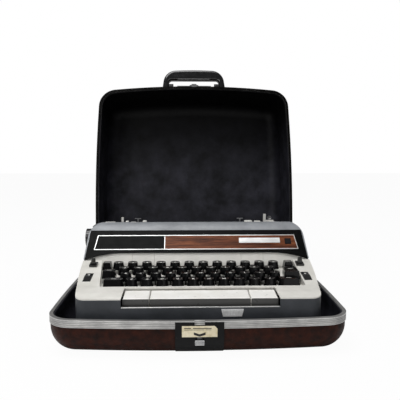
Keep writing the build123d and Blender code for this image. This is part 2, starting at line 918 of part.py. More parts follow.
def side_prism(points, low_x, high_x, corner=None, radius=0):
    """A prism along X from (y, z) points, with one corner rounded where asked."""
    with BuildPart(mode=Mode.PRIVATE) as solid:
        with BuildSketch(Plane.YZ.offset(low_x)) as profile:
            with BuildLine():
                Polyline(*points, close=True)
            make_face()
            if corner:
                fillet(profile.vertices().sort_by_distance(Vector(*corner, 0))[0], radius)
        extrude(amount=high_x - low_x)
    return solid.part


def arch_line_solid(shift, low_y, high_y, above):
    """Everything above or below the arched lower edge of the name panel, raised by shift."""
    crown = panel_bottom + shift
    middle_x = (arch_flat_half_width + arch_end_half_width) / 2
    far_x = body_width
    level = crown + case_depth if above else 0
    with BuildPart(mode=Mode.PRIVATE) as solid:
        with BuildSketch(Plane.XZ.offset(-high_y)):
            with BuildLine():
                arch_end = crown - arch_end_drop
                flat_start = (-arch_flat_half_width, crown)
                flat_end = (arch_flat_half_width, crown)
                arch_middle = crown - arch_mid_drop
                Line(flat_start, flat_end)
                ThreePointArc(flat_end, (middle_x, arch_middle), (arch_end_half_width, arch_end))
                Polyline(
                    (arch_end_half_width, arch_end),
                    (far_x, arch_end),
                    (far_x, level),
                    (-far_x, level),
                    (-far_x, arch_end),
                    (-arch_end_half_width, arch_end),
                )
                ThreePointArc((-arch_end_half_width, arch_end), (-middle_x, arch_middle), flat_start)
            make_face()
        extrude(amount=high_y - low_y)
    return solid.part


# Grey base pan: floor, tapering walls that rise to the rear, and a low front lip under the space bar
side_seam_y = strip_front_y - side_seam_step
side_seam_z = front_wall_top + side_wall_rise
far = case_width
pan_floor = machine_bottom + body_wall
with BuildPart() as machine_base_pan:
    add(body_block(0, machine_bottom, side_wall_top, pan_edge_radius))
    add(body_block(body_wall, pan_floor, far, pan_edge_radius - body_wall), mode=Mode.SUBTRACT)
    wall_cut = [
        (body_front_y, front_wall_top),
        (side_seam_y, side_seam_z),
        (side_seam_y, far),
        (-far, far),
        (-far, front_wall_top),
    ]
    add(side_prism(wall_cut, -far, far), mode=Mode.SUBTRACT)
    notch_x = (space_notch_left, space_notch_right)
    add(block(Plane.XY.offset(notch_lip_top), notch_x, (-far, space_notch_rear), far), mode=Mode.SUBTRACT)
    inlet_cut_x = (inlet_x - inlet_width / 2, inlet_x + inlet_width / 2)
    inlet_cut_y = (body_rear_y - 2 * body_wall, body_rear_y + body_wall)
    add(
        block(Plane.XY.offset(inlet_z - inlet_height / 2), inlet_cut_x, inlet_cut_y, inlet_height),
        mode=Mode.SUBTRACT,
    )
machine_base_pan.part.label = "machine_base_pan"
export_step(machine_base_pan.part, "parts/machine_base_pan.step")

with BuildPart() as machine_feet:
    with BuildSketch(Plane.XY.offset(pad_top)):
        with Locations(*foot_points):
            Circle(foot_radius)
    extrude(amount=foot_height)
    chamfer(machine_feet.edges().group_by(Axis.Z)[0], foot_height / 4)
machine_feet.part.label = "machine_feet"
export_step(machine_feet.part, "parts/machine_feet.step")

# Off-white keyboard deck: sloping top, key well with its slotted floor, and the steep strip behind the keys


def well_floor_z(y):
    """Height of the well floor's upper face."""
    return number_row_top - well_floor_drop + (y - number_row_y) * key_slope


def well_outline(grow):
    """The key well seen from above, grown by grow."""
    with BuildSketch(mode=Mode.PRIVATE) as outline:
        with BuildLine():
            Polyline(
                (well_front_left - grow, well_front_y - grow),
                (well_front_right + grow, well_front_y - grow),
                (well_rear_right + grow, strip_front_y + grow),
                (well_rear_left - grow, strip_front_y + grow),
                close=True,
            )
        make_face()
        fillet(outline.vertices().group_by(Axis.Y)[0], well_corner_radius + grow)
    return outline.sketch


row_y = [number_row_y - row_pitch * row for row in range(4)]
row_top = [number_row_top - row_rise * row for row in range(4)]
row_x = [[first + key_pitch * key for key in range(count)] for first, count in zip(row_first_x, row_counts)]

# Function keys: footprint spans along X and Y, top height and where the lever lies along X
half_face = key_base / 2 - row_edge_margin
margin_release_spec = ((-127.5, -115.0), (row_y[0] - half_face, row_y[0] + half_face), row_top[0], -118.0)
shift_lock_y = (row_y[1] + row_y[2]) / 2
shift_lock_top = (row_top[1] + row_top[2]) / 2
shift_lock_face_y = (shift_lock_y - half_face, shift_lock_y + half_face)
shift_lock_spec = ((-123.0, -105.4), shift_lock_face_y, shift_lock_top, -113.6)
left_shift_spec = ((-116.7, -91.4), (row_y[3] - half_face, row_y[3] + half_face), row_top[3], -109.7)
backspace_spec = ((117.6, 130.6), (row_y[0] - half_face, row_y[0] + half_face), row_top[0], 118.7)
return_spec = ((108.8, 130.6), (row_y[2] - half_face, row_y[1] + half_face), row_top[1] - return_drop, 113.4)
right_shift_spec = ((99.4, 126.0), (row_y[3] - half_face, row_y[3] + half_face), row_top[3], 108.4)
function_specs = (
    margin_release_spec,
    shift_lock_spec,
    left_shift_spec,
    backspace_spec,
    return_spec,
    right_shift_spec,
)

stem_points = [(x, row_y[row]) for row in range(4) for x in row_x[row]]
stem_points += [(spec[3], (spec[1][0] + spec[1][1]) / 2) for spec in function_specs]

deck_edge = 1.5
deck_bottom_line = [(body_front_y - 1, front_wall_top), (side_seam_y, side_seam_z)]
deck_top_line = [
    (side_seam_y, deck_rear_top),
    (deck_flat_y, deck_flat_top),
    (body_front_y + deck_lip_depth, deck_front_top),
    (body_front_y, front_wall_top + deck_edge),
    (body_front_y - 1, front_wall_top + deck_edge),
]
deck_hollow = [(-far, 0), (side_seam_y + 1, 0)]
deck_hollow += [(side_seam_y + 1, deck_rear_top - deck_wall)]
deck_hollow += [(y, z - deck_wall) for y, z in deck_top_line[1:3]]
deck_hollow += [
    (body_front_y + body_wall, front_wall_top + deck_edge - deck_wall / 2),
    (-far, front_wall_top),
]
deck_slope = (deck_rear_top - deck_flat_top) / (side_seam_y - deck_flat_y)
deck_tilt = atan(deck_slope)


def deck_plane(x, y):
    """A plane on the deck's sloping top, its y up the slope."""
    z = deck_flat_top + (y - deck_flat_y) * deck_slope
    return Plane(origin=(x, y, z), x_dir=(1, 0, 0), z_dir=(0, -sin(deck_tilt), cos(deck_tilt)))


selector_planes = (deck_plane(-selector_x, selector_y), deck_plane(selector_x, selector_y))
switch_planes = (deck_plane(-switch_x, switch_y), deck_plane(switch_x, switch_y))
strip_run = (panel_bottom - strip_bottom) / tan(radians(strip_angle))
strip_lean = deck_wall / sin(radians(strip_angle))
strip_foot_z = well_floor_z(strip_front_y) - well_floor_thickness
strip_profile = [
    (strip_front_y, strip_foot_z),
    (strip_front_y, strip_bottom),
    (strip_front_y + strip_run + 2, panel_bottom + 2 * tan(radians(strip_angle))),
    (strip_front_y + strip_run + strip_lean + 2, panel_bottom + 2 * tan(radians(strip_angle))),
    (strip_front_y + strip_lean, strip_bottom),
    (strip_front_y + strip_lean, strip_foot_z),
]
tab_button_spans = ((-89.3, -59.0), (61.9, 92.6))


def well_slab(grow, drop, top):
    """The well's plan shape above the sloping plane that lies drop below its floor."""
    outline = well_outline(grow)
    with BuildPart(mode=Mode.PRIVATE) as slab:
        with BuildSketch(Plane.XY.offset(0)):
            add(outline)
        extrude(amount=top)
        below = [
            (-far, well_floor_z(-far) - drop),
            (far, well_floor_z(far) - drop),
            (far, -far),
            (-far, -far),
        ]
        add(side_prism(below, -far, far), mode=Mode.SUBTRACT)
    return slab.part


with BuildPart(mode=Mode.PRIVATE) as deck_volume:
    add(body_block(0, 0, far))
    add(side_prism(deck_bottom_line + deck_top_line, -far, far), mode=Mode.INTERSECT)
with BuildPart(mode=Mode.PRIVATE) as deck_inside:
    add(body_block(deck_wall, 0, far))
    add(side_prism(deck_hollow, -far, far), mode=Mode.INTERSECT)
with BuildPart(mode=Mode.PRIVATE) as well_tub:
    add(well_slab(deck_wall, well_floor_thickness, far))
    under_deck = [
        (-far, deck_front_top - 1),
        (deck_flat_y, deck_flat_top - 1),
        (side_seam_y, deck_rear_top - 1),
    ]
    under_deck += [(strip_front_y, strip_bottom), (far, strip_bottom), (far, -far), (-far, -far)]
    add(side_prism(under_deck, -far, far), mode=Mode.INTERSECT)
with BuildPart(mode=Mode.PRIVATE) as strip_wall:
    add(side_prism(strip_profile, -far, far))
    add(body_block(body_wall + seat_gap, 0, far), mode=Mode.INTERSECT)
    add(arch_line_solid(0, -far, far, True), mode=Mode.SUBTRACT)

with BuildPart() as keyboard_deck:
    add(deck_volume.part)
    add(deck_inside.part, mode=Mode.SUBTRACT)
    add(well_tub.part)
    add(strip_wall.part)
    add(well_slab(0, 0, far), mode=Mode.SUBTRACT)
    with BuildSketch(Plane.XY):
        with Locations(*stem_points):
            Rectangle(lever_thickness + 2 * stem_slot_gap, stem_depth + 4 * stem_slot_gap)
    extrude(amount=deck_flat_top, mode=Mode.SUBTRACT)
    deck_notch_y = (-far, space_notch_rear)
    add(block(Plane.XY, notch_x, deck_notch_y, far), mode=Mode.SUBTRACT)
    for span in tab_button_spans:
        window_x = (span[0] - seat_gap, span[1] + seat_gap)
        window_y = (strip_front_y - 1, far)
        add(block(Plane.XY.offset(strip_bottom), window_x, window_y, far), mode=Mode.SUBTRACT)
    for plane in selector_planes:
        with BuildSketch(plane):
            RectangleRounded(lever_slot_width, lever_slot_length, lever_slot_width / 3)
        extrude(amount=-3 * deck_wall, mode=Mode.SUBTRACT)
    for plane in switch_planes:
        with BuildSketch(plane):
            Rectangle(switch_width + 2 * seat_gap, switch_length + 4 * seat_gap)
        extrude(amount=-3 * deck_wall, mode=Mode.SUBTRACT)
keyboard_deck.part.label = "keyboard_deck"
export_step(keyboard_deck.part, "parts/keyboard_deck.step")

# Ribbon cover: sloping front, flat top with rounded shoulders, open to the carriage behind and below
panel_crown_z = panel_bottom + cover_gap
cover_low_z = side_wall_top + cover_gap
cover_brow_y = panel_bottom_y + (cover_top - panel_crown_z) / tan(slope)


def cover_volume(inset, rear_y, bottom):
    """The cover's outer shape drawn in by inset, down to bottom and back to rear_y."""
    top = cover_top - inset
    brow_y = cover_brow_y + inset / sin(slope) - inset / tan(slope)
    foot_y = brow_y - (top - bottom) / tan(slope)
    side = [(foot_y, bottom), (brow_y, top), (rear_y, top), (rear_y, bottom)]
    low_half = body_half_width - inset + (cover_low_z - bottom) * side_draft
    top_half = cover_top_half_width - inset
    with BuildPart(mode=Mode.PRIVATE) as solid:
        with BuildSketch(Plane.XZ.offset(-far)) as front_view:
            with BuildLine():
                Polyline(
                    (-low_half, bottom),
                    (-top_half, top),
                    (top_half, top),
                    (low_half, bottom),
                    close=True,
                )
            make_face()
            fillet(front_view.vertices().group_by(Axis.Y)[-1], cover_shoulder_radius - inset)
        extrude(amount=2 * far)
        add(side_prism(side, -far, far, (brow_y, top), cover_front_blend - inset), mode=Mode.INTERSECT)
    return solid.part


side_draft = (body_half_width - cover_top_half_width) / (cover_top - cover_low_z)
lug_x = (cover_ear_x, cover_ear_x + chassis_plate)
with BuildPart() as ribbon_cover:
    add(cover_volume(0, cover_rear_y, cover_low_z))
    add(body_block(0, 0, far), mode=Mode.INTERSECT)
    add(arch_line_solid(cover_gap, -far, 0, False), mode=Mode.SUBTRACT)
    add(cover_volume(cover_wall, far, 0), mode=Mode.SUBTRACT)
    for low, high in (lug_x, (-lug_x[1], -lug_x[0])):
        lug_y = (cover_pivot_y - cover_lug_half, cover_pivot_y + cover_lug_half)
        lug_low = cover_pivot_z - cover_lug_half
        add(block(Plane.XY.offset(lug_low), (low, high), lug_y, cover_top - cover_wall / 2 - lug_low))
    add(rod(-far, far, cover_pivot_y, cover_pivot_z, cover_pivot_radius + pivot_gap), mode=Mode.SUBTRACT)
ribbon_cover.part.label = "ribbon_cover"
export_step(ribbon_cover.part, "parts/ribbon_cover.step")

# Black name panel on the cover's slope, left bare; panel_face is its outer face, y up the slope
panel_seat = Plane(
    origin=(0, panel_bottom_y, panel_crown_z), x_dir=(1, 0, 0), z_dir=(0, -sin(slope), cos(slope))
)
panel_face = panel_seat.offset(panel_thickness)
panel_length = (panel_top - panel_crown_z) / sin(slope)
panel_overhang = 2 * arch_end_drop


def trapezoid(low, high, low_half_width, high_half_width):
    """A symmetrical panel outline between two distances up the slope."""
    with BuildSketch(mode=Mode.PRIVATE) as outline:
        with BuildLine():
            Polyline(
                (-low_half_width, low),
                (low_half_width, low),
                (high_half_width, high),
                (-high_half_width, high),
                close=True,
            )
        make_face()
    return outline.sketch


with BuildPart() as nameplate_panel:
    with BuildSketch(panel_seat):
        add(trapezoid(-panel_overhang, panel_length, panel_bottom_half_width, panel_top_half_width))
    extrude(amount=panel_thickness)
    add(arch_line_solid(cover_gap, -far, far, False), mode=Mode.SUBTRACT)
nameplate_panel.part.label = "nameplate_panel"
export_step(nameplate_panel.part, "parts/nameplate_panel.step")

trim_outer = trapezoid(trim_low, trim_high, trim_bottom_half_width, trim_top_half_width)
trim_inner = trapezoid(
    trim_low + trim_line,
    trim_high - trim_line,
    trim_bottom_half_width - trim_line,
    trim_top_half_width - trim_line,
)
divider_right = trim_divider_x + trim_line
with BuildPart() as nameplate_trim:
    with BuildSketch(panel_face):
        add(trim_outer)
        add(trim_inner, mode=Mode.SUBTRACT)
        with Locations((trim_divider_x + trim_line / 2, (trim_low + trim_high) / 2)):
            Rectangle(trim_line, trim_high - trim_low)
    extrude(amount=trim_height)
    with BuildSketch(panel_face.offset(insert_height)):
        with Locations(((plate_left + plate_right) / 2, (plate_low + plate_high) / 2)):
            Rectangle(plate_right - plate_left, plate_high - plate_low)
    extrude(amount=plate_height)
nameplate_trim.part.label = "nameplate_trim"
export_step(nameplate_trim.part, "parts/nameplate_trim.step")

with BuildPart() as woodgrain_insert:
    with BuildSketch(panel_face):
        add(trim_inner)
        with Locations((divider_right - far, 0)):
            Rectangle(2 * far, 2 * far, mode=Mode.SUBTRACT)
        with Locations((window_centre_x, window_centre)):
            Rectangle(window_size + 2 * seat_gap, window_size + 2 * seat_gap, mode=Mode.SUBTRACT)
    extrude(amount=insert_height)
woodgrain_insert.part.label = "woodgrain_insert"
export_step(woodgrain_insert.part, "parts/woodgrain_insert.step")

with BuildPart() as pilot_window:
    with BuildSketch(panel_face):
        with Locations((window_centre_x, window_centre)):
            RectangleRounded(window_size, window_size, 0.8)
    extrude(amount=insert_height + window_height)
pilot_window.part.label = "pilot_window"
export_step(pilot_window.part, "parts/pilot_window.step")

# Keys: each has a cap, an upright stem and a flat lever with its eye on the fulcrum rod
fulcrum_z = lever_bottom + lever_height / 2


def key_lever(x, y, stem_top):
    """The steel lever and stem of one key."""
    with BuildPart(mode=Mode.PRIVATE) as lever:
        with BuildSketch(Plane.YZ.offset(x)):
            with BuildLine():
                front = y - stem_depth / 2
                lever_top = lever_bottom + lever_height
                Polyline(
                    (front, lever_bottom),
                    (fulcrum_y, lever_bottom),
                    (fulcrum_y, lever_top),
                    (front + stem_depth, lever_top),
                    (front + stem_depth, stem_top),
                    (front, stem_top),
                    close=True,
                )
            make_face()
            with Locations((fulcrum_y, fulcrum_z)):
                Circle(lever_eye_radius)
                Circle(fulcrum_radius + fulcrum_gap, mode=Mode.SUBTRACT)
        extrude(amount=lever_thickness / 2, both=True)
    return lever.part


def character_key(row):
    """One dished key of a row, at x = 0."""
    base = row_top[row] - key_height
    with BuildPart(mode=Mode.PRIVATE) as key:
        with BuildSketch(Plane.XY.offset(base)):
            with Locations((0, row_y[row])):
                RectangleRounded(key_base, key_base, key_base_corner)
        with BuildSketch(Plane.XY.offset(row_top[row])):
            with Locations((0, row_y[row])):
                RectangleRounded(key_face, key_face, key_face_corner)
        loft()
        with Locations((0, row_y[row], row_top[row] + key_dish_radius - key_dish_depth)):
            Sphere(key_dish_radius, mode=Mode.SUBTRACT)
        add(key_lever(0, row_y[row], base + 1))
    return key.part


def key_places(row):
    """Where the keys of a row stand."""
    return [(x, 0, 0) for x in row_x[row]]


number_key = character_key(0)
upper_key = character_key(1)
home_key = character_key(2)
lower_key = character_key(3)

with BuildPart() as number_row_keys:
    with Locations(*key_places(0)):
        add(number_key)
number_row_keys.part.label = "number_row_keys"
export_step(number_row_keys.part, "parts/number_row_keys.step")

with BuildPart() as upper_row_keys:
    with Locations(*key_places(1)):
        add(upper_key)
upper_row_keys.part.label = "upper_row_keys"
export_step(upper_row_keys.part, "parts/upper_row_keys.step")

with BuildPart() as home_row_keys:
    with Locations(*key_places(2)):
        add(home_key)
home_row_keys.part.label = "home_row_keys"
export_step(home_row_keys.part, "parts/home_row_keys.step")

with BuildPart() as lower_row_keys:
    with Locations(*key_places(3)):
        add(lower_key)
lower_row_keys.part.label = "lower_row_keys"
export_step(lower_row_keys.part, "parts/lower_row_keys.step")

# Function keys: tapered caps cut to their own outlines


def function_key(outline_points, top, lever_x):
    """A function key with a tapered cap over an outline, on its own lever."""
    low_y = min(point[1] for point in outline_points)
    high_y = max(point[1] for point in outline_points)
    base = top - key_height
    with BuildPart(mode=Mode.PRIVATE) as key:
        with BuildSketch(Plane.XY.offset(base)) as cap:
            with BuildLine():
                Polyline(*outline_points, close=True)
            make_face()
            fillet(cap.vertices(), function_corner)
        extrude(amount=key_height, taper=function_taper)
        add(key_lever(lever_x, (low_y + high_y) / 2, base + 1))
    return key.part


def plain_outline(spec):
    """The rectangular outline of a function key."""
    (low_x, high_x), (low_y, high_y) = spec[0], spec[1]
    return [(low_x, low_y), (high_x, low_y), (high_x, high_y), (low_x, high_y)]


def shift_outline(spec, inner_side):
    """A shift key's outline, with its inner front corner cut off."""
    (low_x, high_x), (low_y, high_y) = spec[0], spec[1]
    cut = shift_corner_cut
    if inner_side > 0:
        return [
            (low_x, low_y),
            (high_x - cut, low_y),
            (high_x, low_y + cut),
            (high_x, high_y),
            (low_x, high_y),
        ]
    return [(low_x + cut, low_y), (high_x, low_y), (high_x, high_y), (low_x, high_y), (low_x, low_y + cut)]


return_outline = plain_outline(return_spec)
return_outline[3] = (return_spec[0][0] + return_slant, return_spec[1][1])

with BuildPart() as margin_release_key:
    add(function_key(plain_outline(margin_release_spec), margin_release_spec[2], margin_release_spec[3]))
margin_release_key.part.label = "margin_release_key"
export_step(margin_release_key.part, "parts/margin_release_key.step")

with BuildPart() as shift_lock_key:
    add(function_key(plain_outline(shift_lock_spec), shift_lock_spec[2], shift_lock_spec[3]))
shift_lock_key.part.label = "shift_lock_key"
export_step(shift_lock_key.part, "parts/shift_lock_key.step")

with BuildPart() as left_shift_key:
    add(function_key(shift_outline(left_shift_spec, 1), left_shift_spec[2], left_shift_spec[3]))
left_shift_key.part.label = "left_shift_key"
export_step(left_shift_key.part, "parts/left_shift_key.step")

with BuildPart() as backspace_key:
    add(function_key(plain_outline(backspace_spec), backspace_spec[2], backspace_spec[3]))
backspace_key.part.label = "backspace_key"
export_step(backspace_key.part, "parts/backspace_key.step")

with BuildPart() as return_key:
    add(function_key(return_outline, return_spec[2], return_spec[3]))
return_key.part.label = "return_key"
export_step(return_key.part, "parts/return_key.step")

with BuildPart() as right_shift_key:
    add(function_key(shift_outline(right_shift_spec, -1), right_shift_spec[2], right_shift_spec[3]))
right_shift_key.part.label = "right_shift_key"
export_step(right_shift_key.part, "parts/right_shift_key.step")

# Space bar and the two space buttons beside it, each on arms that pivot under the keyboard
space_pivot_z = space_arm_bottom + space_arm_height / 2


def space_button(low_x, high_x, arm_xs):
    """A bar with rounded upper edges on one or two arms."""
    bar_profile = [
        (space_front_y, space_bottom),
        (space_front_y + space_front_lean, space_front_top),
        (space_rear_y, space_rear_top),
        (space_rear_y, space_bottom),
    ]
    with BuildPart(mode=Mode.PRIVATE) as button:
        add(side_prism(bar_profile, low_x, high_x))
        top_face = button.faces().sort_by(Axis.Z)[-1]
        fillet(top_face.edges(), space_edge_radius)
        for arm_x in arm_xs:
            with BuildSketch(Plane.YZ.offset(arm_x)):
                with BuildLine():
                    front = space_arm_y - stem_depth / 2
                    arm_top = space_arm_bottom + space_arm_height
                    Polyline(
                        (front, space_arm_bottom),
                        (space_pivot_y, space_arm_bottom),
                        (space_pivot_y, arm_top),
                        (front + stem_depth, arm_top),
                        (front + stem_depth, space_bottom + 1),
                        (front, space_bottom + 1),
                        close=True,
                    )
                make_face()
                with Locations((space_pivot_y, space_pivot_z)):
                    Circle(space_eye_radius)
                    Circle(space_pivot_radius + pivot_gap, mode=Mode.SUBTRACT)
            extrude(amount=space_arm_thickness / 2, both=True)
    return button.part


with BuildPart() as space_bar:
    add(space_button(space_bar_left, space_bar_right, space_arm_x))
space_bar.part.label = "space_bar"
export_step(space_bar.part, "parts/space_bar.step")

with BuildPart() as half_space_button:
    add(space_button(space_set_left, space_bar_left - space_gap, (half_space_arm_x,)))
half_space_button.part.label = "half_space_button"
export_step(half_space_button.part, "parts/half_space_button.step")

with BuildPart() as power_space_button:
    add(space_button(space_bar_right + space_gap, space_set_right, (power_space_arm_x,)))
power_space_button.part.label = "power_space_button"
export_step(power_space_button.part, "parts/power_space_button.step")


# White tab buttons that fill the windows of the strip behind the keys


def tab_button(span):
    """A button with the strip's own section, clear of the window below and beside it."""
    with BuildPart(mode=Mode.PRIVATE) as button:
        add(side_prism(strip_profile, span[0], span[1]))
        add(arch_line_solid(0, -far, far, True), mode=Mode.SUBTRACT)
        low = strip_bottom + tab_button_low_gap
        add(block(Plane.XY, (-far, far), (-far, far), low), mode=Mode.SUBTRACT)
    return button.part


with BuildPart() as left_tab_button:
    add(tab_button(tab_button_spans[0]))
left_tab_button.part.label = "left_tab_button"
export_step(left_tab_button.part, "parts/left_tab_button.step")

with BuildPart() as right_tab_button:
    add(tab_button(tab_button_spans[1]))
right_tab_button.part.label = "right_tab_button"
export_step(right_tab_button.part, "parts/right_tab_button.step")


# Sliding selectors and rocker switches on the deck


def slide_selector(plane):
    """A paddle above its slot, with a stem and a keeper below the deck."""
    stem_width = lever_slot_width - 2
    keeper_width = lever_slot_width + 2
    with BuildPart(mode=Mode.PRIVATE) as selector:
        with BuildSketch(plane.offset(seat_gap)):
            RectangleRounded(selector_base_width, selector_base_length, 1)
        extrude(amount=selector_base_height)
        with BuildSketch(plane.offset(seat_gap)):
            Rectangle(paddle_width, paddle_thickness)
        extrude(amount=paddle_height, taper=paddle_taper)
        with BuildSketch(plane.offset(seat_gap)):
            Rectangle(stem_width, stem_width)
        extrude(amount=-deck_wall - selector_stem_reach)
        with BuildSketch(plane.offset(-deck_wall - seat_gap)):
            Rectangle(keeper_width, stem_width)
        extrude(amount=-2)
    return selector.part


def rocker(plane):
    """A rocker with a shallow crown across its middle."""
    half_length = switch_length / 2
    half_width = switch_width / 2
    side_plane = Plane(origin=plane.origin - plane.x_dir * half_width, x_dir=plane.y_dir, z_dir=plane.x_dir)
    with BuildPart(mode=Mode.PRIVATE) as body:
        with BuildSketch(side_plane):
            with BuildLine():
                Polyline(
                    (-half_length, -switch_thickness),
                    (half_length, -switch_thickness),
                    (half_length, 0),
                    (0, switch_crown),
                    (-half_length, 0),
                    close=True,
                )
            make_face()
        extrude(amount=switch_width)
    return body.part


with BuildPart() as ribbon_selector:
    add(slide_selector(selector_planes[0]))
ribbon_selector.part.label = "ribbon_selector"
export_step(ribbon_selector.part, "parts/ribbon_selector.step")

with BuildPart() as stencil_selector:
    add(slide_selector(selector_planes[1]))
stencil_selector.part.label = "stencil_selector"
export_step(stencil_selector.part, "parts/stencil_selector.step")

with BuildPart() as touch_switch:
    add(rocker(switch_planes[0]))
touch_switch.part.label = "touch_switch"
export_step(touch_switch.part, "parts/touch_switch.step")

with BuildPart() as power_switch:
    add(rocker(switch_planes[1]))
power_switch.part.label = "power_switch"
export_step(power_switch.part, "parts/power_switch.step")

# Chassis: side plates, cross plates, spool shelves, carriage rail, fulcrum rod and space-bar pivot
plate_inner_x = chassis_half_width - chassis_plate
guide_rear_y = guide_plate_y + guide_plate_thickness
post_front_y = cover_pivot_y - post_half_width
post_rear_y = cover_pivot_y + post_half_width
post_top = cover_pivot_z + post_half_width
rail_front_y = rail_y - rail_depth / 2
rail_rear_y = rail_y + rail_depth / 2
with BuildPart() as chassis_frame:
    side_plate = [
        (chassis_front_y, pan_floor),
        (chassis_rear_y, pan_floor),
        (chassis_rear_y, chassis_rear_top),
        (rail_rear_y, chassis_top),
        (post_rear_y, chassis_top),
        (post_rear_y, post_top),
        (post_front_y, post_top),
        (post_front_y, chassis_top),
        (chassis_shoulder_y, spool_bottom),
        (shelf_front_y, spool_bottom),
        (shelf_front_y, chassis_front_top),
        (chassis_front_y, chassis_front_top),
    ]
    for low in (-chassis_half_width, plate_inner_x):
        add(side_prism(side_plate, low, low + chassis_plate))
    inner_x = (-plate_inner_x, plate_inner_x)
    front_bar_y = (chassis_front_y, chassis_front_y + chassis_plate)
    add(block(Plane.XY.offset(pan_floor), inner_x, front_bar_y, front_bar_height))
    guide_y = (guide_plate_y, guide_rear_y)
    guide_height = guide_plate_top - guide_plate_bottom
    add(block(Plane.XY.offset(guide_plate_bottom), inner_x, guide_y, guide_height))
    shelf_y = (shelf_front_y, guide_plate_y)
    shelf_plane = Plane.XY.offset(spool_bottom - seat_gap - shelf_thickness)
    for shelf_x in ((shelf_inner_x, plate_inner_x), (-plate_inner_x, -shelf_inner_x)):
        add(block(shelf_plane, shelf_x, shelf_y, shelf_thickness))
    with BuildSketch(shelf_plane):
        with Locations((-spool_x, spool_y), (spool_x, spool_y)):
            Circle(spindle_radius)
    extrude(amount=shelf_thickness + spindle_height)
    rail_x = (-chassis_half_width, chassis_half_width)
    add(block(Plane.XY.offset(chassis_top), rail_x, (rail_front_y, rail_rear_y), rail_height))
    add(rod(-plate_inner_x, plate_inner_x, fulcrum_y, fulcrum_z, fulcrum_radius))
    for side in (-1, 1):
        pin_ends = sorted((side * plate_inner_x, side * (cover_ear_x + chassis_plate)))
        add(rod(pin_ends[0], pin_ends[1], cover_pivot_y, cover_pivot_z, cover_pivot_radius))
    add(rod(space_bracket_xs[0], space_bracket_xs[-1], space_pivot_y, space_pivot_z, space_pivot_radius))
    bracket_y = (space_pivot_y - space_eye_radius, space_pivot_y + space_eye_radius)
    bracket_height = space_pivot_z + space_eye_radius - pan_floor
    for bracket_x in space_bracket_xs:
        low = bracket_x - space_bracket_width / 2
        add(block(Plane.XY.offset(pan_floor), (low, low + space_bracket_width), bracket_y, bracket_height))
    roll_bracket = (roll_bracket_x, roll_bracket_x + chassis_plate)
    roll_bracket_y = (roll_y - roll_radius, roll_y + roll_radius)
    roll_bracket_height = roll_z + roll_radius - pan_floor
    add(block(Plane.XY.offset(pan_floor), roll_bracket, roll_bracket_y, roll_bracket_height))
    add(rod(roll_bracket_x, far, roll_y, roll_z, roll_shaft_radius + pivot_gap), mode=Mode.SUBTRACT)
chassis_frame.part.label = "chassis_frame"
export_step(chassis_frame.part, "parts/chassis_frame.step")

# Type basket: a curved segment in front of the guide plate, with the typebars fanned out before it
segment_rear_y = guide_plate_y - seat_gap
segment_front_y = segment_rear_y - segment_thickness
with BuildPart() as type_basket:
    with BuildSketch(Plane.XZ.offset(-segment_rear_y)):
        with Locations((0, segment_centre_z)):
            Ellipse(segment_half_width + segment_outer, segment_depth + segment_outer)
            Ellipse(segment_half_width - segment_inner, segment_depth - segment_inner, mode=Mode.SUBTRACT)
        with Locations((0, segment_centre_z + far / 2)):
            Rectangle(far, far, mode=Mode.SUBTRACT)
    extrude(amount=segment_thickness)
    for bar in range(typebar_count):
        fan = radians(typebar_fan * (2 * bar / (typebar_count - 1) - 1))
        bar_foot = Vector(
            segment_half_width * sin(fan),
            segment_front_y - typebar_height / 2 - seat_gap,
            segment_centre_z - segment_depth * cos(fan),
        )
        bar_direction = Vector(typebar_spread * sin(fan), -typebar_forward, typebar_rise)
        with BuildSketch(Plane(origin=bar_foot, x_dir=(1, 0, 0), z_dir=bar_direction)):
            Rectangle(typebar_thickness, typebar_height)
        extrude(amount=typebar_length)
type_basket.part.label = "type_basket"
export_step(type_basket.part, "parts/type_basket.step")


def ribbon_spool(x):
    """A spool with two flanges, its wound ribbon and a bore for the spindle."""
    with BuildPart(mode=Mode.PRIVATE) as spool:
        for height, radius, length in (
            (0, spool_radius, spool_flange),
            (0, spool_wound_radius, spool_height),
            (spool_height - spool_flange, spool_radius, spool_flange),
        ):
            with BuildSketch(Plane.XY.offset(spool_bottom + height)):
                with Locations((x, spool_y)):
                    Circle(radius)
                    Circle(spindle_radius + pivot_gap, mode=Mode.SUBTRACT)
            extrude(amount=length)
    return spool.part


with BuildPart() as left_ribbon_spool:
    add(ribbon_spool(-spool_x))
left_ribbon_spool.part.label = "left_ribbon_spool"
export_step(left_ribbon_spool.part, "parts/left_ribbon_spool.step")

with BuildPart() as right_ribbon_spool:
    add(ribbon_spool(spool_x))
right_ribbon_spool.part.label = "right_ribbon_spool"
export_step(right_ribbon_spool.part, "parts/right_ribbon_spool.step")

# Drive: motor on two feet, pulleys, belt and the power roll under the key levers
with BuildPart() as drive_motor:
    add(rod(motor_left, motor_right, motor_y, motor_z, motor_radius))
    foot_y = (motor_y - motor_foot_width / 2, motor_y + motor_foot_width / 2)
    for foot_left in (motor_left + motor_foot_inset, motor_right - motor_foot_inset - motor_foot_length):
        foot_x = (foot_left, foot_left + motor_foot_length)
        add(block(Plane.XY.offset(pan_floor), foot_x, foot_y, motor_z - motor_radius / 2 - pan_floor))
    bore_left = motor_right - motor_bore_depth
    add(rod(bore_left, motor_right, motor_y, motor_z, shaft_radius + pivot_gap), mode=Mode.SUBTRACT)
drive_motor.part.label = "drive_motor"
export_step(drive_motor.part, "parts/drive_motor.step")

pulley_right = pulley_left + pulley_width
with BuildPart() as motor_pulley:
    add(rod(bore_left + motor_shaft_clearance, pulley_right, motor_y, motor_z, shaft_radius))
    add(rod(pulley_left, pulley_right, motor_y, motor_z, motor_pulley_radius))
motor_pulley.part.label = "motor_pulley"
export_step(motor_pulley.part, "parts/motor_pulley.step")

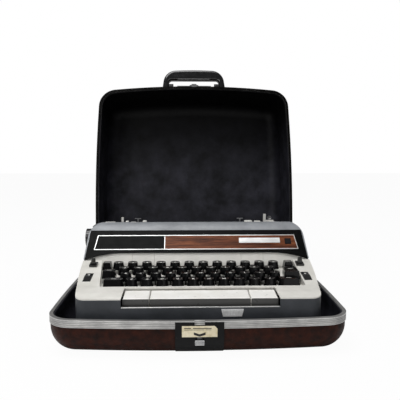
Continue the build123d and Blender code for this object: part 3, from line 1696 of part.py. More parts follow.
roll_right = plate_inner_x - 2
with BuildPart() as power_roll:
    add(rod(roll_bracket_x, chassis_half_width, roll_y, roll_z, roll_shaft_radius))
    add(rod(pulley_left, pulley_right, roll_y, roll_z, roll_pulley_radius))
    add(rod(roll_left, roll_right, roll_y, roll_z, roll_radius))
power_roll.part.label = "power_roll"
export_step(power_roll.part, "parts/power_roll.step")


def belt_outline(grow):
    """The run of the belt round both pulleys, seen along X."""
    with BuildSketch(mode=Mode.PRIVATE) as outline:
        with Locations((motor_y, motor_z)):
            Circle(motor_pulley_radius + grow)
        with Locations((roll_y, roll_z)):
            Circle(roll_pulley_radius + grow)
        make_hull()
    return outline.sketch


with BuildPart() as drive_belt:
    belt_inner = belt_outline(belt_gap)
    belt_outer = belt_outline(belt_gap + belt_thickness)
    with BuildSketch(Plane.YZ.offset(pulley_left + (pulley_width - belt_width) / 2)):
        add(belt_outer)
        add(belt_inner, mode=Mode.SUBTRACT)
    extrude(amount=belt_width)
drive_belt.part.label = "drive_belt"
export_step(drive_belt.part, "parts/drive_belt.step")

# Rear housing over the motor, with louvres
housing_inner_y = (housing_front_y + body_wall, far)
with BuildPart() as housing_inside:
    add(body_block(body_wall, 0, housing_top - body_wall))
    add(block(Plane.XY, (-far, far), housing_inner_y, far), mode=Mode.INTERSECT)
    fillet(housing_inside.faces().sort_by(Axis.Z)[-1].edges(), body_wall)

with BuildPart() as rear_housing:
    add(body_block(0, side_wall_top, housing_top))
    add(block(Plane.XY, (-far, far), (-far, housing_front_y), far), mode=Mode.SUBTRACT)
    fillet(rear_housing.faces().sort_by(Axis.Z)[-1].edges(), 2 * body_wall)
    add(housing_inside.part, mode=Mode.SUBTRACT)
    with BuildSketch(Plane.XY.offset(housing_top)):
        with Locations((0, (housing_front_y + body_rear_y) / 2)):
            with GridLocations(louvre_pitch, 0, louvre_count, 1):
                SlotOverall(louvre_length, louvre_width, rotation=90)
    extrude(amount=-3 * body_wall, mode=Mode.SUBTRACT)
rear_housing.part.label = "rear_housing"
export_step(rear_housing.part, "parts/rear_housing.step")

inlet_centre = (inlet_x, body_rear_y + inlet_wall / 2, inlet_z)
inlet_plane = Plane(origin=inlet_centre, x_dir=(-1, 0, 0), z_dir=(0, 1, 0))
with BuildPart() as power_inlet:
    with BuildSketch(inlet_plane):
        RectangleRounded(inlet_width, inlet_height, 2)
    extrude(amount=-inlet_depth)
    with BuildSketch(inlet_plane.offset(-inlet_wall / 2)):
        RectangleRounded(inlet_width + 2 * inlet_wall, inlet_height + 2 * inlet_wall, inlet_corner)
    extrude(amount=inlet_wall)
    with BuildSketch(inlet_plane.offset(inlet_wall)):
        RectangleRounded(inlet_width - 2 * inlet_wall, inlet_height - 2 * inlet_wall, 2)
    extrude(amount=-inlet_depth, mode=Mode.SUBTRACT)
    with BuildSketch(inlet_plane.offset(-inlet_wall)):
        with GridLocations(inlet_width / 4, 0, 3, 1):
            Circle(inlet_pin_radius)
    extrude(amount=-inlet_depth + 2 * inlet_wall)
power_inlet.part.label = "power_inlet"
export_step(power_inlet.part, "parts/power_inlet.step")

# Plain ribbed badge on the front
badge_plane = Plane(origin=(0, body_front_y, 0), x_dir=(1, 0, 0), z_dir=(0, -1, 0))
with BuildPart() as front_badge:
    with BuildSketch(badge_plane):
        with BuildLine():
            Polyline(
                (badge_left + badge_slant, badge_bottom),
                (badge_right - badge_slant, badge_bottom),
                (badge_right, badge_top),
                (badge_left, badge_top),
                close=True,
            )
        make_face()
    extrude(amount=badge_thickness)
    badge_height = badge_top - badge_bottom
    badge_rib_width = (badge_right - badge_left - 4 * badge_slant) / (2 * badge_rib_count)
    with BuildSketch(badge_plane.offset(badge_thickness)):
        with Locations(((badge_left + badge_right) / 2, (badge_bottom + badge_top) / 2)):
            with GridLocations(2 * badge_rib_width, 0, badge_rib_count, 1):
                Rectangle(badge_rib_width, badge_height / 2)
    extrude(amount=-badge_thickness / 2, mode=Mode.SUBTRACT)
front_badge.part.label = "front_badge"
export_step(front_badge.part, "parts/front_badge.step")

# Carriage: end plates, rail beam, lever bar and end covers in one frame
carriage_left = carriage_x - carriage_half_width
carriage_right = carriage_x + carriage_half_width
end_plate_spans = (
    (carriage_left, carriage_left + end_plate_thickness),
    (carriage_right - end_plate_thickness, carriage_right),
)
cover_y = (end_plate_front_y + end_plate_shoulder_inset, bail_pivot_y + end_plate_bail_margin)
end_plate_profile = [
    (end_plate_front_y + end_plate_toe_inset, end_plate_bottom),
    (rail_rear_y + beam_wall, end_plate_bottom),
    (end_plate_rear_y, platen_z - end_plate_back_half),
    (end_plate_rear_y, platen_z + end_plate_back_half),
    (cover_y[1], end_plate_top),
    (cover_y[0], end_plate_top),
    (end_plate_front_y, platen_z + end_plate_nose_rise),
    (end_plate_front_y, platen_z - end_plate_nose_drop),
]
beam_front_y = rail_front_y - rail_gap - beam_wall
beam_rear_y = rail_rear_y + rail_gap + beam_wall
rail_top = chassis_top + rail_height
small_pivot_z = lever_bar_top + small_lever_pivot_height
beam_top = rail_top + rail_gap + beam_wall
with BuildPart() as carriage_frame:
    for low, high in end_plate_spans:
        add(side_prism(end_plate_profile, low, high))
    beam_x = (carriage_left, carriage_right)
    beam_y = (beam_front_y, beam_rear_y)
    add(block(Plane.XY.offset(beam_skirt_bottom), beam_x, beam_y, beam_top - beam_skirt_bottom))
    channel_y = (rail_front_y - rail_gap, rail_rear_y + rail_gap)
    add(block(Plane.XY, beam_x, channel_y, rail_top + rail_gap), mode=Mode.SUBTRACT)
    bar_y = (lever_bar_y - lever_bar_depth / 2, lever_bar_y + lever_bar_depth / 2)
    add(block(Plane.XY.offset(lever_bar_bottom), beam_x, bar_y, lever_bar_top - lever_bar_bottom))
    cover_bottom = end_plate_top - end_cover_height
    for low in (carriage_left - end_cover_width, carriage_right):
        add(block(Plane.XY.offset(cover_bottom), (low, low + end_cover_width), cover_y, end_cover_height))
    add(rod(-far, far, platen_y, platen_z, platen_shaft_radius + platen_shaft_gap), mode=Mode.SUBTRACT)
    for lever_x, width in ((release_lever_x, release_lever_width), (line_selector_x, line_selector_width)):
        for side in (-1, 1):
            ear_inner = lever_x + side * (width / 2 + pivot_gap)
            ear_ends = sorted((ear_inner, ear_inner + side * small_lever_thickness))
            ear_top = small_pivot_z + small_lever_thickness - lever_bar_top
            add(block(Plane.XY.offset(lever_bar_top), ear_ends, bar_y, ear_top))
        add(rod(lever_x - width, lever_x + width, lever_bar_y, small_pivot_z, small_lever_pivot_radius))
    for side in (-1, 1):
        pin_inner = carriage_x + side * (bail_half_width - bail_arm_thickness)
        pin_ends = sorted((pin_inner, carriage_x + side * carriage_half_width))
        add(rod(pin_ends[0], pin_ends[1], bail_pivot_y, bail_pivot_z, small_lever_pivot_radius))
        ear_y = (bail_pivot_y - small_lever_thickness, bail_pivot_y + small_lever_thickness)
        ear_outer = carriage_x + side * carriage_half_width
        ear_ends = sorted((ear_outer - side * end_plate_thickness, ear_outer))
        ear_height = bail_pivot_z + small_lever_thickness - end_plate_top
        add(block(Plane.XY.offset(end_plate_top), ear_ends, ear_y, ear_height))
carriage_frame.part.label = "carriage_frame"
export_step(carriage_frame.part, "parts/carriage_frame.step")

# Paper table: a sheet that leans back from under the platen, on two feet that stand on the rail beam
table_run = paper_table_top_y - paper_table_bottom_y
table_rise = paper_table_top - paper_table_bottom
with BuildPart() as paper_table:
    table_profile = [
        (paper_table_bottom_y, paper_table_bottom),
        (paper_table_bottom_y + paper_table_thickness, paper_table_bottom),
        (paper_table_top_y + paper_table_thickness, paper_table_top),
        (paper_table_top_y, paper_table_top),
    ]
    table_x = (carriage_x - paper_table_half_width, carriage_x + paper_table_half_width)
    add(side_prism(table_profile, table_x[0], table_x[1]))
    foot_profile = [
        (paper_table_bottom_y, beam_top),
        (beam_rear_y, beam_top),
        (beam_rear_y, paper_table_bottom + (beam_rear_y - paper_table_bottom_y) * table_rise / table_run),
        (paper_table_bottom_y, paper_table_bottom),
    ]
    for foot_x in (table_x[0] + post_half_width, table_x[1] - 2 * post_half_width):
        add(side_prism(foot_profile, foot_x, foot_x + post_half_width))
paper_table.part.label = "paper_table"
export_step(paper_table.part, "parts/paper_table.step")

# Platen with its shaft, and the two ribbed knobs
knob_outer = knob_inner + knob_length
with BuildPart() as platen_roller:
    add(
        rod(
            carriage_x - platen_half_length,
            carriage_x + platen_half_length,
            platen_y,
            platen_z,
            platen_radius,
        )
    )
    add(rod(carriage_x - knob_inner, carriage_x + knob_inner, platen_y, platen_z, platen_shaft_radius))
platen_roller.part.label = "platen_roller"
export_step(platen_roller.part, "parts/platen_roller.step")

with BuildPart() as platen_knobs:
    for side in (-1, 1):
        knob_ends = sorted((carriage_x + side * knob_inner, carriage_x + side * knob_outer))
        knob_plane = Plane(
            origin=(carriage_x + side * knob_inner, platen_y, platen_z), x_dir=(0, 1, 0), z_dir=(side, 0, 0)
        )
        with BuildSketch(knob_plane):
            Circle(knob_radius)
        extrude(amount=knob_length)
        with BuildSketch(knob_plane.offset(knob_length / 4)):
            with PolarLocations(knob_radius, knob_rib_count):
                Circle(knob_groove_radius)
        extrude(amount=knob_length, mode=Mode.SUBTRACT)
        with BuildSketch(knob_plane.offset(knob_length)):
            Circle(knob_radius / 2)
        extrude(amount=-knob_dish, mode=Mode.SUBTRACT)
platen_knobs.part.label = "platen_knobs"
export_step(platen_knobs.part, "parts/platen_knobs.step")

# Paper bail: a rod on two arms, with two rollers that rest just off the platen
bail_left = carriage_x - bail_half_width
bail_right = carriage_x + bail_half_width
with BuildPart() as paper_bail:
    add(rod(bail_left, bail_right, bail_y, bail_z, bail_radius))
    arm_half = small_lever_thickness / 2 + pivot_gap
    arm_profile = [
        (bail_y, bail_z - arm_half),
        (bail_pivot_y, bail_pivot_z - arm_half - 1),
        (bail_pivot_y, bail_pivot_z + arm_half + 1),
        (bail_y, bail_z + arm_half),
    ]
    for low in (bail_left, bail_right - bail_arm_thickness):
        add(side_prism(arm_profile, low, low + bail_arm_thickness))
        add(rod(low, low + bail_arm_thickness, bail_pivot_y, bail_pivot_z, arm_half + 1))
        add(rod(low, low + bail_arm_thickness, bail_y, bail_z, arm_half))
    for roller_x in bail_roller_xs:
        roller_low = roller_x - bail_roller_length / 2
        add(rod(roller_low, roller_low + bail_roller_length, bail_y, bail_z, bail_roller_radius))
        finger_x = (roller_x - bail_arm_thickness / 2, roller_x + bail_arm_thickness / 2)
        finger_y = (bail_y, bail_y + bail_arm_thickness)
        add(block(Plane.XY.offset(bail_z), finger_x, finger_y, bail_finger_top - bail_z))
        head_x = (roller_low + 1, roller_low + bail_roller_length - 1)
        add(block(Plane.XY.offset(bail_finger_top), head_x, finger_y, bail_arm_thickness / 2))
    add(rod(-far, far, bail_pivot_y, bail_pivot_z, small_lever_pivot_radius + pivot_gap), mode=Mode.SUBTRACT)
paper_bail.part.label = "paper_bail"
export_step(paper_bail.part, "parts/paper_bail.step")


def upright_lever(x, width, top):
    """A small lever that stands on the lever bar, between its ears."""
    boss = small_lever_thickness / 2 + small_lever_pivot_radius / 2
    with BuildPart(mode=Mode.PRIVATE) as lever:
        stem_y = (lever_bar_y - small_lever_thickness / 2, lever_bar_y + small_lever_thickness / 2)
        stem_x = (x - width / 2, x + width / 2)
        add(block(Plane.XY.offset(small_pivot_z), stem_x, stem_y, top - small_pivot_z))
        add(rod(stem_x[0], stem_x[1], lever_bar_y, small_pivot_z, boss))
        bore_radius = small_lever_pivot_radius + pivot_gap
        add(rod(stem_x[0], stem_x[1], lever_bar_y, small_pivot_z, bore_radius), mode=Mode.SUBTRACT)
    return lever.part


with BuildPart() as paper_release_lever:
    add(upright_lever(release_lever_x, release_lever_width, release_lever_top))
    toe_x = (release_lever_x - release_lever_width / 2, release_lever_x + release_lever_toe)
    toe_y = (lever_bar_y - small_lever_thickness / 2, lever_bar_y + small_lever_thickness / 2)
    toe_bottom = small_pivot_z + small_lever_thickness + release_lever_toe_gap
    add(block(Plane.XY.offset(toe_bottom), toe_x, toe_y, release_lever_toe_height))
paper_release_lever.part.label = "paper_release_lever"
export_step(paper_release_lever.part, "parts/paper_release_lever.step")

with BuildPart() as line_space_selector:
    add(upright_lever(line_selector_x, line_selector_width, line_selector_top))
line_space_selector.part.label = "line_space_selector"
export_step(line_space_selector.part, "parts/line_space_selector.step")
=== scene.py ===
import math

import bmesh
import bpy
from mathutils import Matrix, Vector


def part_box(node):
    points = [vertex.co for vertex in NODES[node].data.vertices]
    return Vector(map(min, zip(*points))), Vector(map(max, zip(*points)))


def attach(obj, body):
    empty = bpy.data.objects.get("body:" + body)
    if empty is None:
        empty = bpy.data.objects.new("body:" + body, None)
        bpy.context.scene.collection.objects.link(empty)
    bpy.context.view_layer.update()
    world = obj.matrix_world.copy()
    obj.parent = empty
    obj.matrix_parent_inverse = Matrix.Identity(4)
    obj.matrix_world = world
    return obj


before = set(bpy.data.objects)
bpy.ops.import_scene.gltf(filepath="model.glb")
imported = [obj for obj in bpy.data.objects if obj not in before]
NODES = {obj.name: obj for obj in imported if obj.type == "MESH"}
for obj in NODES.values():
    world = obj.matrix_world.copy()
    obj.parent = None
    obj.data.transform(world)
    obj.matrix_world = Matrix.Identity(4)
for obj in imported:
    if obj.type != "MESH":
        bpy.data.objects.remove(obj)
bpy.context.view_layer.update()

bl_info = {
    "name": "Portable typewriter in its case",
    "version": (1, 0, 0),
    "blender": (4, 5, 0),
    "location": "3D View > Sidebar > Typewriter",
    "description": "Finishes, key legends and small fittings of a portable electric typewriter",
    "category": "Object",
}


# Measures and placing


def mm(*values):
    """Millimetres to a place in metres."""
    return Vector([value / 1000.0 for value in values])


def linear_colour(code):
    """A hex sRGB colour as linear red, green, blue and alpha."""
    parts = [int(code[i:i + 2], 16) / 255.0 for i in (1, 3, 5)]
    return [p / 12.92 if p <= 0.04045 else ((p + 0.055) / 1.055) ** 2.4 for p in parts] + [1.0]


def per_metre(size_mm):
    """The texture scale that gives features of this size."""
    return 1000.0 / size_mm


# Where rays start, in mm: over the keyboard and in front of the case
ABOVE_KEYS = 200.0
BEFORE_FRONT = -400.0


def first_hit(node_name, start, direction):
    """The first point of a CAD node along a ray that starts at a point in mm, and its normal."""
    hit, place, normal, _ = NODES[node_name].ray_cast(mm(*start), Vector(direction))
    if not hit:
        raise RuntimeError(f"no surface of {node_name} from {start}")
    return place, normal


def surface_point(node_name, x, y):
    """The highest point of a CAD node at x, y in mm, and its normal."""
    return first_hit(node_name, (x, y, ABOVE_KEYS), (0, 0, -1))


def front_point(node_name, x, z):
    """The foremost point of a CAD node at x, z in mm, and its normal."""
    return first_hit(node_name, (x, BEFORE_FRONT, z), (0, 1, 0))


def deselect():
    bpy.ops.object.select_all(action="DESELECT")


def only(piece):
    deselect()
    piece.select_set(True)
    bpy.context.view_layer.objects.active = piece


def start_cube(name, low, high):
    """A cube primitive between two corners in mm, its place already in its mesh."""
    deselect()
    centre = [(a + b) / 2000.0 for a, b in zip(low, high)]
    size = [(b - a) / 1000.0 for a, b in zip(low, high)]
    bpy.ops.mesh.primitive_cube_add(size=1, location=centre, scale=size)
    return settle(bpy.context.object, name)


def start_cylinder(name, centre, radius, depth, sides, turn=(0, 0, 0)):
    """A cylinder primitive in mm, its place already in its mesh."""
    deselect()
    bpy.ops.mesh.primitive_cylinder_add(
        vertices=sides, radius=radius / 1000, depth=depth / 1000, location=mm(*centre), rotation=turn
    )
    return settle(bpy.context.object, name)


def settle(piece, name):
    """Puts a piece's place and turn in its mesh and names it."""
    only(piece)
    bpy.ops.object.transform_apply(location=True, rotation=True, scale=True)
    piece.name = name
    piece.data.name = name
    return piece


def pick(piece, kind, test):
    """Enters edit mode with only the faces or the edges that pass the test selected."""
    only(piece)
    bpy.ops.object.mode_set(mode="EDIT")
    bpy.ops.mesh.select_mode(type=kind)
    bpy.ops.mesh.select_all(action="DESELECT")
    mesh = bmesh.from_edit_mesh(piece.data)
    for part in mesh.faces if kind == "FACE" else mesh.edges:
        part.select_set(bool(test(part)))
    bmesh.update_edit_mesh(piece.data)


def spans_x(edge, least_mm):
    """Whether an edge reaches farther than this along X."""
    return abs((edge.verts[0].co - edge.verts[1].co).x) > least_mm / 1000


def leave_edit():
    bpy.ops.object.mode_set(mode="OBJECT")


# Angles in radians: edges sharper than the first are rounded, softer than the second are shaded smooth
SHARP_ANGLE = 0.6
SMOOTH_ANGLE = 0.7


def round_edges(piece, width, segments):
    """Bevels the sharp edges to a width in mm and shades the piece smooth."""
    only(piece)
    bevel = piece.modifiers.new("round", "BEVEL")
    bevel.width = width / 1000
    bevel.segments = segments
    bevel.limit_method = "ANGLE"
    bevel.angle_limit = SHARP_ANGLE
    bpy.ops.object.modifier_apply(modifier=bevel.name)
    bpy.ops.object.shade_smooth_by_angle(angle=SMOOTH_ANGLE)


def join(pieces, name):
    """One object from several."""
    only(pieces[0])
    for piece in pieces:
        piece.select_set(True)
    bpy.ops.object.join()
    return settle(bpy.context.object, name)


def finish(piece, material, body):
    """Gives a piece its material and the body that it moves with."""
    piece.data.materials.clear()
    piece.data.materials.append(material)
    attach(piece, body)


# Materials


def add_node(tree, kind, settings=None, links=None):
    """Adds a node, sets its properties and sockets, and links other nodes' outputs to its sockets."""
    node = tree.nodes.new(kind)
    for key, value in (settings or {}).items():
        if isinstance(key, int) or key in node.inputs:
            node.inputs[key].default_value = value
        else:
            setattr(node, key, value)
    for socket, source in (links or {}).items():
        tree.links.new(source, node.inputs[socket])
    return node


def new_material(name):
    """An empty node tree with a Principled shader, its output and object coordinates."""
    material = bpy.data.materials.new(name)
    material.use_nodes = True
    tree = material.node_tree
    tree.nodes.clear()
    shader = add_node(tree, "ShaderNodeBsdfPrincipled")
    add_node(tree, "ShaderNodeOutputMaterial", links={"Surface": shader.outputs["BSDF"]})
    place = add_node(tree, "ShaderNodeTexCoord").outputs["Object"]
    return material, tree, shader, place


def stretched(tree, place, along, share):
    """Coordinates squeezed along one axis, so that a pattern runs along it."""
    scale = [1.0, 1.0, 1.0]
    scale["XYZ".index(along)] = share
    return add_node(tree, "ShaderNodeMapping", {"Scale": scale}, {"Vector": place}).outputs["Vector"]


def ramp(tree, factor, stops):
    """A colour ramp with the given positions and linear colours."""
    node = add_node(tree, "ShaderNodeValToRGB", links={"Fac": factor})
    elements = node.color_ramp.elements
    while len(elements) < len(stops):
        elements.new(0.5)
    for element, (position, colour) in zip(elements, stops):
        element.position = position
        element.color = colour
    return node.outputs["Color"]


def grey(value):
    return [value, value, value, 1.0]


def spread(tree, factor, low, high):
    """A ramp over the middle of a pattern, from one colour to another."""
    return ramp(tree, factor, [(0.30, low), (0.70, high)])


def multiplied(tree, colour, shade):
    """One colour times another."""
    product = add_node(tree, "ShaderNodeVectorMath", {"operation": "MULTIPLY"}, {0: colour, 1: shade})
    return product.outputs["Vector"]


def with_painted_side_shade(tree, colour, direction, start, full, share_left):
    """Painted shade: a colour that darkens as the surface turns to a direction, between two cosines of the angle to
    it.
    """
    facing = add_node(tree, "ShaderNodeVectorMath", {"operation": "DOT_PRODUCT", 1: direction},
                      {0: add_node(tree, "ShaderNodeTexCoord").outputs["Normal"]})
    shade = ramp(tree, facing.outputs["Value"], [(start, grey(1.0)), (full, grey(share_left))])
    return multiplied(tree, colour, shade)


def wire(tree, shader, colour, gloss, bump):
    """Links colour, roughness and relief to the shader."""
    tree.links.new(colour, shader.inputs["Base Color"])
    tree.links.new(gloss, shader.inputs["Roughness"])
    tree.links.new(bump.outputs["Normal"], shader.inputs["Normal"])


# Sizes in mm: patches that differ in gloss on moulded and painted parts, and stains on metal
GLOSS_PATCH = 7.0
METAL_STAIN = 22.0
# Share of its colour that the lining keeps where its painted shade is darkest
PAINTED_SHADE_LEFT = 0.02


def moulded(name, dark, light, rough, grain_mm, grain_height_mm, mottle_mm, specular=0.5, coat=0.0,
            pebbles=False, painted_shade_heights_mm=None, painted_shade_side=None):
    """A moulded, painted or covered surface: mottled colour, fine grain in relief and uneven gloss.

    The last two arguments paint shade into the colour: the heights between which it fades towards black, and the
    arguments, after the colour, of a painted shade on the side that faces a direction.
    """
    material, tree, shader, place = new_material(name)
    cloud = add_node(tree, "ShaderNodeTexNoise", {"Scale": per_metre(mottle_mm), "Detail": 6.0, "Roughness": 0.6},
                     {"Vector": place})
    colour = spread(tree, cloud.outputs["Fac"], linear_colour(dark), linear_colour(light))
    if pebbles:
        grain = add_node(tree, "ShaderNodeTexVoronoi",
                         {"feature": "SMOOTH_F1", "Scale": per_metre(grain_mm), "Smoothness": 0.4},
                         {"Vector": place}).outputs["Distance"]
    else:
        grain = add_node(tree, "ShaderNodeTexNoise", {"Scale": per_metre(grain_mm), "Detail": 3.0},
                         {"Vector": place}).outputs["Fac"]
    bump = add_node(tree, "ShaderNodeBump", {"Strength": 1.0, "Distance": grain_height_mm / 1000},
                    {"Height": grain})
    wear = add_node(tree, "ShaderNodeTexNoise", {"Scale": per_metre(GLOSS_PATCH), "Detail": 4.0}, {"Vector": place})
    gloss = spread(tree, wear.outputs["Fac"], grey(rough[0]), grey(rough[1]))
    # Painted shade: the colour fades towards black between two heights
    if painted_shade_heights_mm:
        height = add_node(tree, "ShaderNodeSeparateXYZ", links={"Vector": place}).outputs["Z"]
        fade = add_node(tree, "ShaderNodeMapRange", {"From Min": painted_shade_heights_mm[0] / 1000, "From Max": painted_shade_heights_mm[1] / 1000,
                                                     "To Min": 1.0, "To Max": PAINTED_SHADE_LEFT}, {"Value": height})
        colour = add_node(tree, "ShaderNodeVectorMath", {"operation": "SCALE"},
                          {"Vector": colour, "Scale": fade.outputs["Result"]}).outputs["Vector"]
    # Painted shade: the side that faces a direction darkens
    if painted_shade_side:
        colour = with_painted_side_shade(tree, colour, *painted_shade_side)
    wire(tree, shader, colour, gloss, bump)
    shader.inputs["Specular IOR Level"].default_value = specular
    shader.inputs["Coat Weight"].default_value = coat
    shader.inputs["Coat Roughness"].default_value = 0.12
    return material


# Factors that squeeze coordinates along a metal's lines and a wood's grain
LINE_STRETCH = 0.02
WOOD_STRETCH = 0.05
# The wave texture repeats every pi / 10 of its scaled length
WAVE_BANDS = math.pi / 10


def drawn_metal(name, dark, light, rough, along, line_mm, line_height_mm=0.02, metallic=1.0, painted_groove_shade_mm=None,
                painted_shade_side=None):
    """A brushed, drawn or ground metal, its fine lines running along one axis.

    The last two arguments paint shade into the colour: the pitch of grooves up the height, shaded by dark painted
    bands, and the arguments, after the colour, of a painted shade on the side that faces a direction.
    """
    material, tree, shader, place = new_material(name)
    lines_place = stretched(tree, place, along, LINE_STRETCH)
    lines = add_node(tree, "ShaderNodeTexNoise", {"Scale": per_metre(line_mm), "Detail": 4.0, "Roughness": 0.7},
                     {"Vector": lines_place})
    stain = add_node(tree, "ShaderNodeTexNoise", {"Scale": per_metre(METAL_STAIN), "Detail": 5.0}, {"Vector": place})
    mixed = add_node(tree, "ShaderNodeMath", {"operation": "MULTIPLY"},
                     {0: lines.outputs["Fac"], 1: stain.outputs["Fac"]})
    colour = ramp(tree, mixed.outputs["Value"], [(0.12, linear_colour(dark)), (0.38, linear_colour(light))])
    # Painted shade: dark bands where the grooves lie
    if painted_groove_shade_mm:
        wave = add_node(tree, "ShaderNodeTexWave",
                        {"wave_type": "BANDS", "bands_direction": "Z", "Scale": WAVE_BANDS * per_metre(painted_groove_shade_mm),
                         "Distortion": 0.0}, {"Vector": place})
        colour = multiplied(tree, colour, ramp(tree, wave.outputs["Fac"], [(0.08, grey(0.42)), (0.40, grey(1.0))]))
    # Painted shade: the side that faces a direction darkens
    if painted_shade_side:
        colour = with_painted_side_shade(tree, colour, *painted_shade_side)
    gloss = spread(tree, lines.outputs["Fac"], grey(rough[0]), grey(rough[1]))
    bump = add_node(tree, "ShaderNodeBump", {"Strength": 0.6, "Distance": line_height_mm / 1000},
                    {"Height": lines.outputs["Fac"]})
    wire(tree, shader, colour, gloss, bump)
    shader.inputs["Metallic"].default_value = metallic
    return material


def printed_wood(name, dark, middle, light):
    """A plastic insert with a printed, long grained wood figure that runs along X."""
    material, tree, shader, place = new_material(name)
    grain_place = stretched(tree, place, "X", WOOD_STRETCH)
    warp = add_node(tree, "ShaderNodeTexNoise", {"Scale": per_metre(14.0), "Detail": 5.0, "Distortion": 0.6},
                    {"Vector": grain_place})
    streaks = add_node(tree, "ShaderNodeTexNoise", {"Scale": per_metre(1.3), "Detail": 6.0, "Roughness": 0.75},
                       {"Vector": grain_place})
    mixed = add_node(tree, "ShaderNodeMath", {"operation": "ADD"},
                     {0: warp.outputs["Fac"], 1: streaks.outputs["Fac"]})
    figure = add_node(tree, "ShaderNodeMath", {"operation": "MULTIPLY", 1: 0.5}, {0: mixed.outputs["Value"]})
    colour = ramp(tree, figure.outputs["Value"], [
        (0.38, linear_colour(dark)), (0.50, linear_colour(middle)), (0.63, linear_colour(light))])
    gloss = spread(tree, streaks.outputs["Fac"], grey(0.30), grey(0.42))
    bump = add_node(tree, "ShaderNodeBump", {"Strength": 0.4, "Distance": 0.00004},
                    {"Height": streaks.outputs["Fac"]})
    wire(tree, shader, colour, gloss, bump)
    shader.inputs["Specular IOR Level"].default_value = 0.12
    return material


MATERIALS = {}
# Painted shade on the sides of the lid's edge strip and of the space keys: the direction that a side faces, the
# cosines to it where the painted shade starts and is full, and the share of colour left there
LID_MOUTH_PAINTED_SHADE = ((0.0, -0.9755, 0.2198), 0.45, 0.75, 0.02)
FRONT_PAINTED_SHADE = ((0.0, -1.0, 0.0), 0.62, 0.88, 0.06)
# Heights in mm between which painted shade fades the open lid's lining to black, darker towards the top
LINING_PAINTED_SHADE = (170.0, 305.0)


